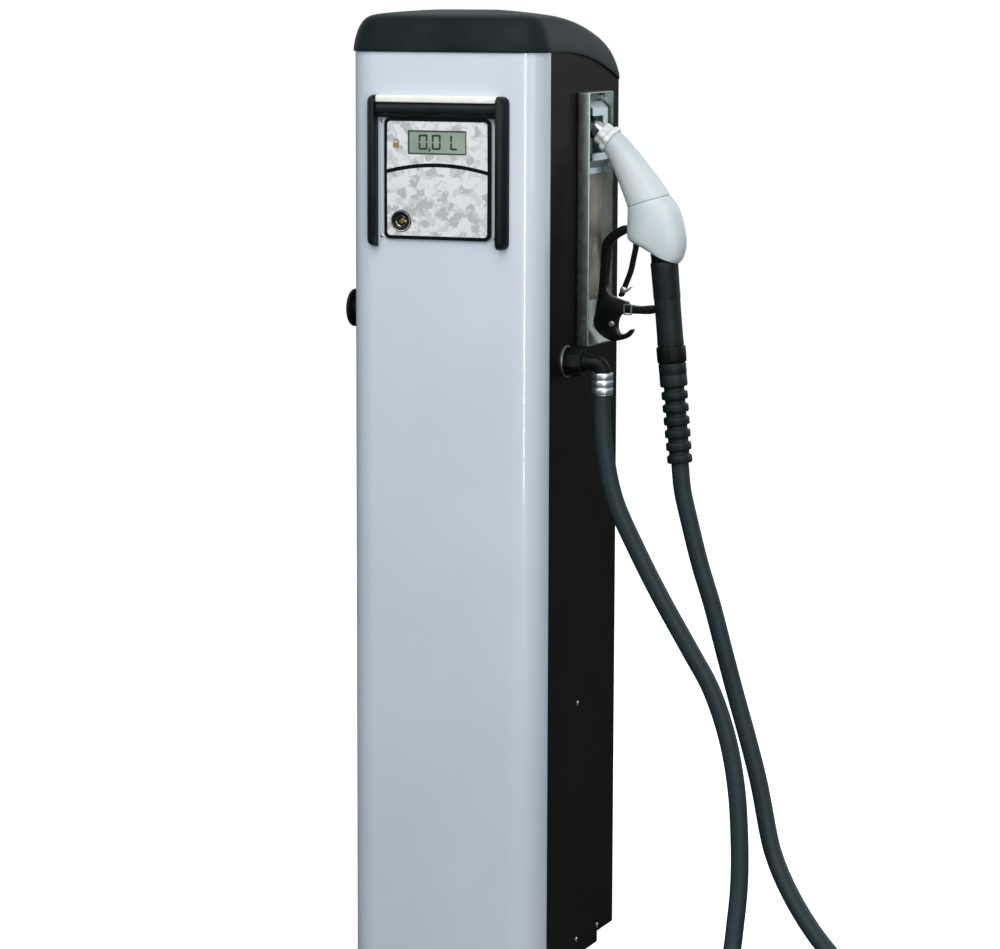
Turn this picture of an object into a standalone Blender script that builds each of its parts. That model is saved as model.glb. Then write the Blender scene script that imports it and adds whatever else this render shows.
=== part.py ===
"""Pedestal fuel dispenser: a sheet-steel column with a self-priming pump, a flow meter, a display unit,
a side holster, a delivery hose and an automatic nozzle.

Metres, +Z up. The origin is the middle of the column's footprint, on the floor. The front faces -Y and the
holster side faces +X.
"""
import math

import bmesh
import bpy
from mathutils import Matrix, Vector

# ---------------------------------------------------------------- driving dimensions
GAP = 0.0003                    # clearance between pieces that touch
SHEET = 0.002                   # cabinet sheet steel

BODY_W = 0.300                  # over the side panels
BODY_D = 0.320                  # front face to rear face
SHOULDER_Z = 1.3484             # top edge of the panels at the front
SHOULDER_Y = -0.080             # where the top edge begins to fall away
SHOULDER_R = 0.680              # radius of the falling top edge
FRONT_CORNER_R = 0.045          # outside radius of the front panel's corners
FLOOR_GAP = 0.002               # panels stop this far above the floor
POWER_BOX_DEPTH = 0.0727        # power box, from the side panel it hangs on
NOTCH_Y = 0.094                 # rear cable notch starts here
NOTCH_H = 0.018                 # height of the rear cable notch

LID_OVERHANG = 0.0028
LID_WALL = 0.0035
LID_REAR_R = 0.009
PANEL_TUCK = -GAP               # panels stop this far from the lid's rim, which rests on them
# how far the lid's skin has moved in, and its height above the lid's lower edge
LID_LEVELS = (
    (0.0, 0.0), (0.0, 0.004), (0.0008, 0.010), (0.0035, 0.022), (0.009, 0.036), (0.018, 0.047),
    (0.030, 0.0520), (0.070, 0.0570), (0.120, 0.0605),
)

BASE_T = 0.003
BASE_WALL_H = 0.045
ANCHOR_X = 0.110
ANCHOR_Y = (-0.120, 0.070)
ANCHOR_R = 0.006
POST_LEG = 0.022                # legs of the corner posts
TOP_FRAME_Z = 1.2955
TOP_FRAME_T = 0.0025

DISPLAY_X = -0.0045             # middle of the display unit
BAR_IN = 0.0935                 # inner and outer faces of the side bars, from that middle
BAR_OUT = 0.1097
BAR_Z = (1.070, 1.287)
BAR_DEPTH = 0.0175
CROSSBAR_Z = (1.2555, 1.2765)
CROSSBAR_DEPTH = 0.010
STRIP_DEPTH = 0.011
PLATE_HALF_W = BAR_IN - 0.011   # the plate stops short of the side bars
PLATE_Z = (1.0815, 1.2548)
PLATE_T = 0.004
PLATE_R = 0.009
WINDOW_HALF_W = 0.044
WINDOW_Z = (1.2045, 1.2360)
KEY_X = 0.0265 - PLATE_HALF_W   # key reader, from the display's middle
KEY_Z = 1.1072
KEY_BARREL_R = 0.0122
KEY_BEZEL_R = 0.015
KEY_CONTACT_R = 0.0092
HOUSING_DEPTH = 0.050
HOUSING_WALL = 0.002
BOARD_T = 0.0016

TRAY_Y = (-0.012, 0.086)        # holster tray, outside
TRAY_Z = (0.9205, 1.2900)
TRAY_DEPTH = 0.020
TRAY_T = 0.0015
NOZZLE_Y = (TRAY_Y[0] + TRAY_Y[1]) / 2
BRACKET_Y = (0.016, 0.078)
BRACKET_OFF = 0.012             # face of the spout bracket in front of the tray's floor
BRACKET_Z = (1.178, 1.190, 1.2655, 1.2755)
BOLT_R = 0.005

OUTLET_Y = -0.051               # hose outlet on the holster side
OUTLET_Z = 0.903
PIPE_R = 0.0105                 # delivery pipe, outside
PIPE_WALL = 0.002
ELBOW_OUT = 0.0570              # how far out of the side panel the outlet elbow hangs
ELBOW_INSIDE = 0.030            # and how far inside it meets the outlet pipe
ELBOW_R = 0.0135
NUT_R = 0.0222
NUT_OUT = 0.029                 # union nut, out of the side panel
WASHER_R = 0.0235
WASHER_T = 0.0025
FERRULE_R = 0.0160
FERRULE_Z = (0.8570, 0.8893)

HOOK_Z = 0.969                  # hose hook on the other side
HOOK_POST_R = 0.015
HOOK_DISC_R = 0.028
HOOK_REACH = 0.0385
HOOK_DISC_T = 0.006

SHELF_Z = 0.120
SHELF_HALF_W = 0.100
SHELF_Y = (-0.100, 0.085)
SHAFT_R = 0.008
PUMP_R = 0.055
CHAMBER_R = 0.0405
PUMP_Y = (-0.085, -0.017)
CHAMBER_DEPTH = 0.048
IMPELLER_R = 0.038
IMPELLER_LEN = 0.030
COVER_T = 0.010
PORT_R = 0.018
PORT_REACH = 0.0800
MOTOR_R = 0.062
MOTOR_WALL = 0.005
SHAFT_Z = SHELF_Z + MOTOR_R + 0.008   # motor and pump axis, on the motor's feet
MOTOR_Y = (-0.0165, 0.105)
STATOR_R = (0.0375, MOTOR_R - MOTOR_WALL - 0.0002)
STATOR_LEN = 0.075
ROTOR_R = 0.037
FAN_R = 0.052
SUCTION_X = -0.105
SUCTION_Y = 0.118
SUCTION_R = 0.0125
METER_X = 0.035
METER_R = 0.035
METER_Z = (0.760, 0.842)
METER_CHAMBER_R = 0.026

# the nozzle lies in the plane y = NOZZLE_Y; points there are (distance out of the side panel, z)
HANDLE_TOP = (0.1180, 1.0506)
HANDLE_DIR = Vector((0.0933, 0.0, -0.9956)).normalized()
HANDLE_PIPE_R = 0.0150
GRIP_R = (0.0207, 0.0196)
GRIP_SPAN = (0.006, 0.128)
SWIVEL_SPAN = (0.1285, 0.1525)
SWIVEL_R = 0.0215
PROTECTOR_SPAN = (0.1528, 0.300)
PROTECTOR_SLEEVE_R = 0.0200
PROTECTOR_RIBS = 6
NECK_END = (0.0368, 1.2178)
NECK_DIR = Vector((-0.80, 0.0, 0.60))
SPOUT_R = 0.012
SPOUT_WALL = 0.0012
SPOUT_Z = 1.2404                # height of the level end of the spout
SPOUT_TIP_OUT = -0.090          # the spout's tip, inside the column
COLLAR_R = 0.021
COLLAR_LEN = 0.0170
COVER_WALL = 0.0022
BARREL_START = (0.0368, 1.2178)
BARREL_END = (0.1200, 1.0960)
BARREL_R = (0.0140, 0.0185)
BARREL_BORE_R = 0.0105
TRIGGER_PIVOT = (0.0775, 1.0800)
TRIGGER_PIN_R = 0.0025
TRIGGER_HALF_W = 0.0068
LATCH_PIVOT = (0.0565, 1.0035)
GUARD_HALF_W = 0.0070
# the moulded cover's sections: middle (out, z), half width in the plane, half width across it, tilt in degrees
# of the section's long way from +X
COVER_SECTIONS = (
    ((0.0368, 1.2178), 0.0180, 0.0180, 53.0),
    ((0.0501, 1.2006), 0.0212, 0.0200, 51.0),
    ((0.0666, 1.1770), 0.0246, 0.0222, 36.0),
    ((0.0838, 1.1499), 0.0292, 0.0250, 27.0),
    ((0.0940, 1.1320), 0.0330, 0.0268, 17.7),
    ((0.1015, 1.1114), 0.0400, 0.0283, 13.4),
    ((0.1060, 1.0858), 0.0440, 0.0285, 4.4),
    ((0.1092, 1.0707), 0.0425, 0.0270, 0.0),
    ((0.1150, 1.0590), 0.0320, 0.0240, -7.0),
    ((0.1188, 1.0520), 0.0212, 0.0212, -5.0),
)
COVER_SPLIT = 4                 # the two halves of the cover meet at this section

HOSE_R = 0.013
COIL_CENTRE = (0.580, -0.240)
COIL_TRACKS = (0.117, 0.143)    # radii of the hose's turns on the floor
# the hose's route from the ferrule down to the coil, and from the coil up to the nozzle
DROP_ROUTE = (
    (0.2070, -0.051, 0.8567), (0.2073, -0.051, 0.8200), (0.2118, -0.051, 0.7720), (0.2278, -0.051, 0.7040),
    (0.2624, -0.051, 0.6330), (0.3015, -0.051, 0.5630), (0.3452, -0.051, 0.4920), (0.3790, -0.052, 0.4360),
    (0.4050, -0.056, 0.3700), (0.4230, -0.066, 0.3000), (0.4330, -0.078, 0.2250), (0.4370, -0.0895, 0.1600),
    (0.4375, -0.1093, 0.0980), (0.4375, -0.1210, 0.0691), (0.4375, -0.1402, 0.0445), (0.4375, -0.1556, 0.0321),
)
RISE_ROUTE = (
    (0.5936, -0.0948, 0.0612), (0.5649, -0.0788, 0.0798), (0.5367, -0.0629, 0.1032), (0.5103, -0.0475, 0.1303),
    (0.4870, -0.0332, 0.1596), (0.4681, -0.0205, 0.1899), (0.4550, -0.0100, 0.2200),
    (0.4320, 0.0120, 0.2900), (0.4080, 0.0270, 0.3550), (0.3870, 0.0360, 0.4120), (0.3693, 0.0370, 0.4710),
    (0.3482, 0.0370, 0.5445), (0.3288, 0.0370, 0.6030), (0.3126, 0.0370, 0.6620), (0.3005, 0.0370, 0.7110),
    (0.29602, 0.0370, 0.7516),
)

HALF_W = BODY_W / 2
ELBOW_X = HALF_W + ELBOW_OUT
ELBOW_START_X = HALF_W - ELBOW_INSIDE
NUT_X = HALF_W + NUT_OUT
FRONT_Y = -BODY_D / 2
REAR_Y = BODY_D / 2
PANEL_FRONT_Y = FRONT_Y + FRONT_CORNER_R
INSIDE_X = HALF_W - SHEET


def edge_z(y):
    """Height of the cabinet's top edge: level in front, then an arc that falls to the rear."""
    run = max(0.0, y - SHOULDER_Y)
    return SHOULDER_Z - SHOULDER_R + math.sqrt(SHOULDER_R ** 2 - run ** 2)


# ---------------------------------------------------------------- scene and helpers
for stale in list(bpy.data.objects):
    bpy.data.objects.remove(stale, do_unlink=True)


def new_collection(name):
    group = bpy.data.collections.new(name)
    bpy.context.scene.collection.children.link(group)
    return group


PARTS = new_collection("gas_pump")
CUTTERS = new_collection("cutters")


def material(name, colour, roughness, metallic=0.0):
    made = bpy.data.materials.new(name)
    made.use_nodes = True
    shader = made.node_tree.nodes["Principled BSDF"]
    shader.inputs["Base Color"].default_value = (*colour, 1.0)
    shader.inputs["Roughness"].default_value = roughness
    shader.inputs["Metallic"].default_value = metallic
    return made


def link(name, data, finish, group=PARTS):
    made = bpy.data.objects.new(name, data)
    group.objects.link(made)
    if finish:
        data.materials.append(finish)
    if group is CUTTERS:
        made.hide_render = True
        made.display_type = "WIRE"
    return made


def mesh_of(bm):
    mesh = bpy.data.meshes.new("shape")
    bm.to_mesh(mesh)
    bm.free()
    return mesh


def smooth(obj):
    obj.data.shade_smooth()
    obj.data.set_sharp_from_angle(angle=math.radians(35))
    return obj


def bevel(obj, width, segments=2):
    rounding = obj.modifiers.new("rounded_edges", "BEVEL")
    rounding.width = width
    rounding.segments = segments
    return obj


def solidify(obj, wall, offset=-1.0):
    shell = obj.modifiers.new("wall", "SOLIDIFY")
    shell.thickness = wall
    shell.offset = offset
    shell.use_even_offset = True
    return obj


def boolean(obj, other, operation):
    step = obj.modifiers.new(operation.lower(), "BOOLEAN")
    step.object = other
    step.operation = operation
    step.solver = "EXACT"
    return obj


def cut(obj, cutter):
    return boolean(obj, cutter, "DIFFERENCE")


def join(obj, other):
    return boolean(obj, other, "UNION")


def box(name, low, high, finish=None, group=PARTS):
    low, high = Vector(low), Vector(high)
    bm = bmesh.new()
    bmesh.ops.create_cube(bm, size=1.0, matrix=Matrix.Diagonal((*(high - low), 1.0)))
    made = link(name, mesh_of(bm), finish, group)
    made.location = (low + high) / 2
    return made


def turn_to(obj, direction):
    obj.rotation_mode = "QUATERNION"
    obj.rotation_quaternion = Vector((0, 0, 1)).rotation_difference(Vector(direction))
    return obj


def rod(name, start, end, radius, finish=None, group=PARTS, sides=24, radius_end=None):
    """A plain cylinder or cone from start to end."""
    start, end = Vector(start), Vector(end)
    bm = bmesh.new()
    bmesh.ops.create_cone(
        bm, cap_ends=True, segments=sides, radius1=radius, radius2=radius if radius_end is None else radius_end,
        depth=(end - start).length)
    made = link(name, mesh_of(bm), finish, group)
    made.location = (start + end) / 2
    return smooth(turn_to(made, end - start))


def turned(name, profile, base, direction, finish=None, group=PARTS, steps=24, ring=False):
    """A turned piece. The profile is (radius, height) down its outer side, heights along the direction."""
    bm = bmesh.new()
    points = [bm.verts.new((radius, 0.0, height)) for radius, height in profile]
    for first, second in zip(points, points[1:]):
        bm.edges.new((first, second))
    if ring:
        bm.edges.new((points[-1], points[0]))
    made = link(name, mesh_of(bm), finish, group)
    screw = made.modifiers.new("turned", "SCREW")
    screw.steps = steps
    screw.render_steps = steps
    screw.use_merge_vertices = True
    screw.merge_threshold = 0.00001
    screw.use_smooth_shade = True
    made.location = base
    return turn_to(made, direction)


def sleeve(name, r_in, r_out, start, end, finish=None, group=PARTS, steps=24):
    """A plain ring or bush from start to end."""
    start, end = Vector(start), Vector(end)
    length = (end - start).length
    profile = ((r_in, length), (r_out, length), (r_out, 0.0), (r_in, 0.0))
    return turned(name, profile, start, end - start, finish, group, steps, ring=True)


PLANES = {
    "XY": Matrix.Identity(3),
    "YZ": Matrix(((0, 0, 1), (1, 0, 0), (0, 1, 0))),
    "XZ": Matrix(((1, 0, 0), (0, 0, -1), (0, 1, 0))),
}


def plate(name, outline, plane, span, finish=None, holes=(), group=PARTS):
    """A flat plate: an outline in a plane, filled, from span[0] to span[1] along the plane's normal axis."""
    curve = bpy.data.curves.new("outline", "CURVE")
    curve.dimensions = "2D"
    curve.fill_mode = "BOTH"
    curve.resolution_u = 1
    curve.render_resolution_u = 0
    for loop in (outline, *holes):
        spline = curve.splines.new("POLY")
        spline.points.add(len(loop) - 1)
        for point, (u, v) in zip(spline.points, loop):
            point.co = (u, v, 0.0, 1.0)
        spline.use_cyclic_u = True
    curve.extrude = abs(span[1] - span[0]) / 2
    shape = bpy.data.objects.new("outline", curve)
    PARTS.objects.link(shape)
    bpy.context.view_layer.update()
    solid = bpy.data.meshes.new_from_object(shape.evaluated_get(bpy.context.evaluated_depsgraph_get()))
    bpy.data.objects.remove(shape, do_unlink=True)
    bm = bmesh.new()
    bm.from_mesh(solid)
    bmesh.ops.remove_doubles(bm, verts=bm.verts, dist=0.000001)
    bmesh.ops.recalc_face_normals(bm, faces=bm.faces)
    made = link(name, mesh_of(bm), finish, group)
    turn = PLANES[plane].to_4x4()
    normal = PLANES[plane] @ Vector((0, 0, 1))
    axis = max(range(3), key=lambda i: abs(normal[i]))
    made.matrix_world = turn
    made.location[axis] = (span[0] + span[1]) / 2
    return made


def rounded_rect(low_u, low_v, high_u, high_v, radii, steps=5):
    """Corners in the order low-low, high-low, high-high, low-high, each with its own radius."""
    if not isinstance(radii, (tuple, list)):
        radii = (radii,) * 4
    corners = (
        (low_u, low_v, 1, 1, 180), (high_u, low_v, -1, 1, 270), (high_u, high_v, -1, -1, 0),
        (low_u, high_v, 1, -1, 90))
    points = []
    for (u, v, sign_u, sign_v, start), radius in zip(corners, radii):
        for step in range(steps + 1):
            angle = math.radians(start + 90 * step / steps)
            points.append((
                u + sign_u * radius + radius * math.cos(angle),
                v + sign_v * radius + radius * math.sin(angle)))
    return points


def circle(u, v, radius, sides=20):
    return [
        (u + radius * math.cos(2 * math.pi * k / sides), v + radius * math.sin(2 * math.pi * k / sides))
        for k in range(sides)]


def folded_sheet(name, profile, plane, span, wall, finish=None, flip=False):
    """Sheet bent along an open profile in a plane and drawn out along the plane's normal axis."""
    turn = PLANES[plane]
    normal = turn @ Vector((0, 0, 1))
    axis = max(range(3), key=lambda i: abs(normal[i]))
    bm = bmesh.new()
    rows = []
    for place in span:
        row = []
        for u, v in profile:
            point = turn @ Vector((u, v, 0.0))
            point[axis] = place
            row.append(bm.verts.new(point))
        rows.append(row)
    for k in range(len(profile) - 1):
        face = [rows[0][k], rows[0][k + 1], rows[1][k + 1], rows[1][k]]
        bm.faces.new(reversed(face) if flip else face)
    return solidify(link(name, mesh_of(bm), finish), wall)


def route(points, spacing):
    """Points about a spacing apart along a smooth curve through the given ones."""
    points = [Vector(p) for p in points]
    padded = [2 * points[0] - points[1], *points, 2 * points[-1] - points[-2]]
    path = [points[0]]
    for a, b, c, d in zip(padded, padded[1:], padded[2:], padded[3:]):
        count = max(1, round((c - b).length / spacing))
        for step in range(1, count + 1):
            t = step / count
            path.append(0.5 * (
                2 * b + (c - a) * t + (2 * a - 5 * b + 4 * c - d) * t ** 2 + (3 * b - a - 3 * c + d) * t ** 3))
    return path


def hose(name, points, radius, finish, spacing):
    """A solid round tube along a smooth route."""
    curve = bpy.data.curves.new(name, "CURVE")
    curve.dimensions = "3D"
    spline = curve.splines.new("POLY")
    path = route(points, spacing)
    spline.points.add(len(path) - 1)
    for point, place in zip(spline.points, path):
        point.co = (*place, 1.0)
    curve.bevel_depth = radius
    curve.bevel_resolution = 3
    curve.resolution_u = 1
    curve.render_resolution_u = 0
    curve.use_fill_caps = True
    return link(name, curve, finish)


def loft(name, rings, finish=None, group=PARTS, caps=True):
    """Skin over rings of points; each ring runs anticlockwise seen from the end it starts at."""
    bm = bmesh.new()
    rows = [[bm.verts.new(point) for point in ring] for ring in rings]
    for first, second in zip(rows, rows[1:]):
        for k in range(len(first)):
            following = (k + 1) % len(first)
            bm.faces.new((first[k], first[following], second[following], second[k]))
    if caps:
        bm.faces.new(list(reversed(rows[0])))
        bm.faces.new(rows[-1])
    bmesh.ops.recalc_face_normals(bm, faces=bm.faces)
    return smooth(link(name, mesh_of(bm), finish, group))


def pipe(name, path, radius, wall, finish=None, sides=20):
    """A hollow pipe with open ends along a path in one plane or a gentle curve in space."""
    path = [Vector(p) for p in path]
    rings = []
    side = None
    for k, place in enumerate(path):
        ahead = path[min(k + 1, len(path) - 1)] - path[max(k - 1, 0)]
        ahead.normalize()
        if side is None:
            side = ahead.orthogonal().normalized()
        side = (side - ahead * side.dot(ahead)).normalized()
        across = ahead.cross(side)
        rings.append([
            place + radius * (side * math.cos(a) + across * math.sin(a))
            for a in (2 * math.pi * n / sides for n in range(sides))])
    return solidify(loft(name, rings, finish, caps=False), wall)


def bend(start, corner, end, radius, steps=6):
    """Path from start to end, round the corner on an arc."""
    start, corner, end = Vector(start), Vector(corner), Vector(end)
    back = (start - corner).normalized()
    ahead = (end - corner).normalized()
    angle = back.angle(ahead)
    reach = radius / math.tan(angle / 2)
    centre = corner + (back + ahead).normalized() * radius / math.sin(angle / 2)
    first = corner + back * reach - centre
    axis = first.cross(corner + ahead * reach - centre).normalized()
    sweep = math.pi - angle
    arc = [centre + Matrix.Rotation(sweep * k / steps, 3, axis) @ first for k in range(steps + 1)]
    return [start, *arc, end]


def on_nozzle(out, z, y=0.0):
    return Vector((HALF_W + out, NOZZLE_Y + y, z))


def along_handle(distance, y=0.0):
    return on_nozzle(*HANDLE_TOP, y) + HANDLE_DIR * distance


# ---------------------------------------------------------------- finishes
WHITE_PAINT = material("white_powder_coat", (0.60, 0.66, 0.72), 0.30)
BLACK_PAINT = material("black_powder_coat", (0.010, 0.011, 0.009), 0.45)
BLACK_ABS = material("black_moulded_abs", (0.018, 0.024, 0.026), 0.40)
GREY_STEEL = material("zinc_plated_steel", (0.35, 0.36, 0.36), 0.40, 1.0)
TRAY_STEEL = material("galvanised_steel", (0.30, 0.33, 0.32), 0.38, 1.0)
BRIGHT_STEEL = material("bright_steel", (0.60, 0.60, 0.58), 0.25, 1.0)
ALUMINIUM = material("cast_aluminium", (0.55, 0.56, 0.56), 0.45, 1.0)
FERRULE_METAL = material("crimped_aluminium", (0.62, 0.66, 0.68), 0.35, 1.0)
CAST_IRON = material("painted_cast_iron", (0.06, 0.08, 0.10), 0.60)
MOTOR_PAINT = material("grey_motor_paint", (0.20, 0.22, 0.24), 0.50)
WINDING = material("copper_winding", (0.55, 0.25, 0.10), 0.45, 1.0)
RUBBER = material("black_rubber", (0.022, 0.026, 0.028), 0.60)
WHITE_MOULDING = material("white_polypropylene", (0.52, 0.60, 0.63), 0.42)
CLEAR_MOULDING = material("translucent_polyethylene", (0.62, 0.68, 0.70), 0.35)
LAMP_MOULDING = material("opal_lamp_strip", (0.80, 0.82, 0.76), 0.35)
PLATE_FILM = material("printed_film", (0.55, 0.55, 0.56), 0.35)
LCD_GLASS = material("lcd_glass", (0.30, 0.36, 0.30), 0.20)
BOARD_GREEN = material("circuit_board", (0.02, 0.16, 0.07), 0.50)
BRASS = material("brass", (0.60, 0.45, 0.18), 0.35, 1.0)


# ---------------------------------------------------------------- cabinet
def base_pan():
    """Stepped floor plate with anchor holes and upturned walls for the side screws."""
    half = HALF_W - SHEET - GAP
    front = FRONT_Y + SHEET + GAP
    rear = REAR_Y - SHEET - GAP
    corner = FRONT_CORNER_R - SHEET - GAP
    anchors = [circle(x, y, ANCHOR_R, 16) for x in (-ANCHOR_X, ANCHOR_X) for y in ANCHOR_Y]
    pan = plate(
        "base_pan", rounded_rect(-half, front, half, NOTCH_Y, (corner, corner, 0.002, 0.002)), "XY",
        (0.0, BASE_T), GREY_STEEL, anchors)
    step_top = NOTCH_H + GAP + BASE_T
    join(pan, box("base_riser", (-half, NOTCH_Y - BASE_T, BASE_T / 2), (half, NOTCH_Y, step_top), group=CUTTERS))
    rear_plate = plate(
        "base_rear", rounded_rect(-half, NOTCH_Y - BASE_T / 2, half, rear, 0.001, 1), "XY",
        (step_top - BASE_T, step_top), holes=[circle(SUCTION_X, SUCTION_Y, SUCTION_R + 0.001)], group=CUTTERS)
    join(pan, rear_plate)
    for side in (-1, 1):
        outer = side * (half - SHEET - GAP)
        inner = outer - side * BASE_T
        wall_y = (PANEL_FRONT_Y + POST_LEG + 0.004, NOTCH_Y - BASE_T / 2)
        wall = box(
            f"base_wall_{side}", (min(outer, inner), wall_y[0], BASE_T / 2),
            (max(outer, inner), wall_y[1], BASE_WALL_H), group=CUTTERS)
        join(pan, wall)
    return pan


def front_panel():
    """White sheet wrapped round both front corners, with the display's cut-out."""
    corner = (HALF_W - FRONT_CORNER_R, FRONT_Y + FRONT_CORNER_R)
    profile = [(-HALF_W, PANEL_FRONT_Y - GAP)]
    for step in range(13):
        angle = math.radians(180 + 90 * step / 12)
        profile.append((
            -corner[0] + FRONT_CORNER_R * math.cos(angle), corner[1] + FRONT_CORNER_R * math.sin(angle)))
    profile[1] = (-HALF_W, corner[1] - 0.0006)
    profile += [(-x, y) for x, y in reversed(profile)]
    panel = folded_sheet("front_panel", profile, "XY", (FLOOR_GAP, SHOULDER_Z + PANEL_TUCK), SHEET, WHITE_PAINT)
    opening = box(
        "display_opening",
        (DISPLAY_X - PLATE_HALF_W + 0.004, FRONT_Y - 0.01, PLATE_Z[0] + 0.006),
        (DISPLAY_X + PLATE_HALF_W - 0.004, FRONT_Y + 0.01, PLATE_Z[1] - 0.006), group=CUTTERS)
    return cut(panel, opening)


def side_outline():
    points = [(PANEL_FRONT_Y, FLOOR_GAP), (NOTCH_Y, FLOOR_GAP), (NOTCH_Y, NOTCH_H), (REAR_Y, NOTCH_H)]
    steps = 12
    for step in range(steps + 1):
        y = REAR_Y + (SHOULDER_Y - REAR_Y) * step / steps
        points.append((y, edge_z(y) + PANEL_TUCK))
    points.append((PANEL_FRONT_Y, SHOULDER_Z + PANEL_TUCK))
    return points


def side_panels():
    spout_hole = rounded_rect(
        NOZZLE_Y - 0.0195, SPOUT_Z - 0.022, NOZZLE_Y + 0.0195, SPOUT_Z + 0.020, 0.006, 3)
    outlet_hole = circle(OUTLET_Y, OUTLET_Z, PIPE_R + 0.002)
    plate(
        "side_panel_right", side_outline(), "YZ", (INSIDE_X, HALF_W), BLACK_PAINT, (spout_hole, outlet_hole))
    plate("side_panel_left", side_outline(), "YZ", (-HALF_W, -INSIDE_X), BLACK_PAINT)


def rear_panel():
    """Flat service panel between the side panels, with cooling slots low down and high up."""
    half = INSIDE_X - GAP
    slots = []
    for first_z in (0.150, 1.120):
        for k in range(7):
            z = first_z + 0.016 * k
            slots.append(rounded_rect(-0.060, z, 0.060, z + 0.006, 0.0028, 3))
    outline = rounded_rect(-half, NOTCH_H, half, edge_z(REAR_Y) + PANEL_TUCK - 0.001, 0.001, 1)
    return plate("rear_panel", outline, "XZ", (REAR_Y - SHEET, REAR_Y), BLACK_PAINT, slots)


def lid_outline(inset, steps_side=10, steps_corner=6):
    """Plan of the lid's skin, moved in by the inset, with the sides cut into short lengths."""
    half = HALF_W + LID_OVERHANG - inset
    front = FRONT_Y - LID_OVERHANG + inset
    rear = REAR_Y + LID_OVERHANG - inset
    front_r = max(FRONT_CORNER_R + LID_OVERHANG - inset, 0.006)
    rear_r = min(LID_REAR_R + 1.2 * inset, 0.028)
    corners = rounded_rect(-half, front, half, rear, (front_r, front_r, rear_r, rear_r), steps_corner)
    per_corner = steps_corner + 1
    outline = []
    for k in range(4):
        group = corners[k * per_corner:(k + 1) * per_corner]
        outline += group
        start, end = group[-1], corners[((k + 1) * per_corner) % len(corners)]
        cuts = steps_side if k % 2 else 2
        for step in range(1, cuts):
            share = step / cuts
            outline.append((start[0] + (end[0] - start[0]) * share, start[1] + (end[1] - start[1]) * share))
    return outline


def lid():
    """Moulded lid: drafted skirt, wide rounding and a slightly crowned top that falls to the rear."""
    bm = bmesh.new()
    skins = []
    for wall in (0.0, LID_WALL):
        rows = []
        for inset, rise in LID_LEVELS:
            height = max(rise - wall, min(rise, 0.004))
            rows.append([bm.verts.new((x, y, edge_z(y) + height)) for x, y in lid_outline(inset + wall)])
        for lower, upper in zip(rows, rows[1:]):
            for k in range(len(lower)):
                following = (k + 1) % len(lower)
                bm.faces.new((lower[k], lower[following], upper[following], upper[k]))
        top = rows[-1]
        centre = bm.verts.new((0.0, 0.0, edge_z(0.0) + LID_LEVELS[-1][1] - wall))
        for k in range(len(top)):
            bm.faces.new((top[k], top[(k + 1) % len(top)], centre))
        skins.append(rows[0])
    outer, inner = skins
    for k in range(len(outer)):
        following = (k + 1) % len(outer)
        bm.faces.new((outer[k], inner[k], inner[following], outer[following]))
    bmesh.ops.recalc_face_normals(bm, faces=bm.faces)
    return smooth(link("lid", mesh_of(bm), BLACK_ABS))


def corner_posts():
    """Four folded angle posts between the base pan and the top frame."""
    outer = INSIDE_X - GAP
    for side, name in ((-1, "left"), (1, "right")):
        front_profile = [
            (side * (outer - POST_LEG), PANEL_FRONT_Y + POST_LEG),
            (side * outer, PANEL_FRONT_Y + POST_LEG),
            (side * outer, PANEL_FRONT_Y - 0.004)]
        folded_sheet(
            f"front_post_{name}", front_profile, "XY", (BASE_T + GAP, TOP_FRAME_Z - GAP), SHEET, GREY_STEEL,
            flip=side > 0)
        rear = REAR_Y - SHEET - GAP
        rear_profile = [(side * (outer - POST_LEG), rear), (side * outer, rear), (side * outer, rear - POST_LEG)]
        folded_sheet(
            f"rear_post_{name}", rear_profile, "XY",
            (NOTCH_H + BASE_T + 2 * GAP, TOP_FRAME_Z - GAP), SHEET, GREY_STEEL, flip=side > 0)


def top_frame():
    half = INSIDE_X - GAP
    corner = FRONT_CORNER_R - SHEET - GAP
    outline = rounded_rect(
        -half, FRONT_Y + SHEET + GAP, half, REAR_Y - SHEET - GAP, (corner, corner, 0.002, 0.002))
    access = rounded_rect(-0.095, -0.085, 0.095, 0.110, 0.012, 4)
    return plate("top_frame", outline, "XY", (TOP_FRAME_Z, TOP_FRAME_Z + TOP_FRAME_T), GREY_STEEL, (access,))


# ---------------------------------------------------------------- display unit
def display_frame():
    """One moulding: two long side bars and the cross bar that carries the lamp strip."""
    back = FRONT_Y - GAP
    frame = plate(
        "display_frame", rounded_rect(DISPLAY_X + BAR_IN, BAR_Z[0], DISPLAY_X + BAR_OUT, BAR_Z[1], 0.006, 4),
        "XZ", (back - BAR_DEPTH, back), BLACK_ABS)
    left = plate(
        "left_bar", rounded_rect(DISPLAY_X - BAR_OUT, BAR_Z[0], DISPLAY_X - BAR_IN, BAR_Z[1], 0.006, 4),
        "XZ", (back - BAR_DEPTH, back), group=CUTTERS)
    cross = box(
        "cross_bar", (DISPLAY_X - BAR_IN - 0.004, back - CROSSBAR_DEPTH, CROSSBAR_Z[0]),
        (DISPLAY_X + BAR_IN + 0.004, back - 0.0005, CROSSBAR_Z[1]), group=CUTTERS)
    return join(join(frame, cross), left)


def lamp_strip():
    half = BAR_IN - GAP
    back = FRONT_Y - GAP
    strip = box(
        "lamp_strip", (DISPLAY_X - half, back - STRIP_DEPTH, CROSSBAR_Z[1] + GAP),
        (DISPLAY_X + half, back, BAR_Z[1]), LAMP_MOULDING)
    return bevel(strip, 0.002)


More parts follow.
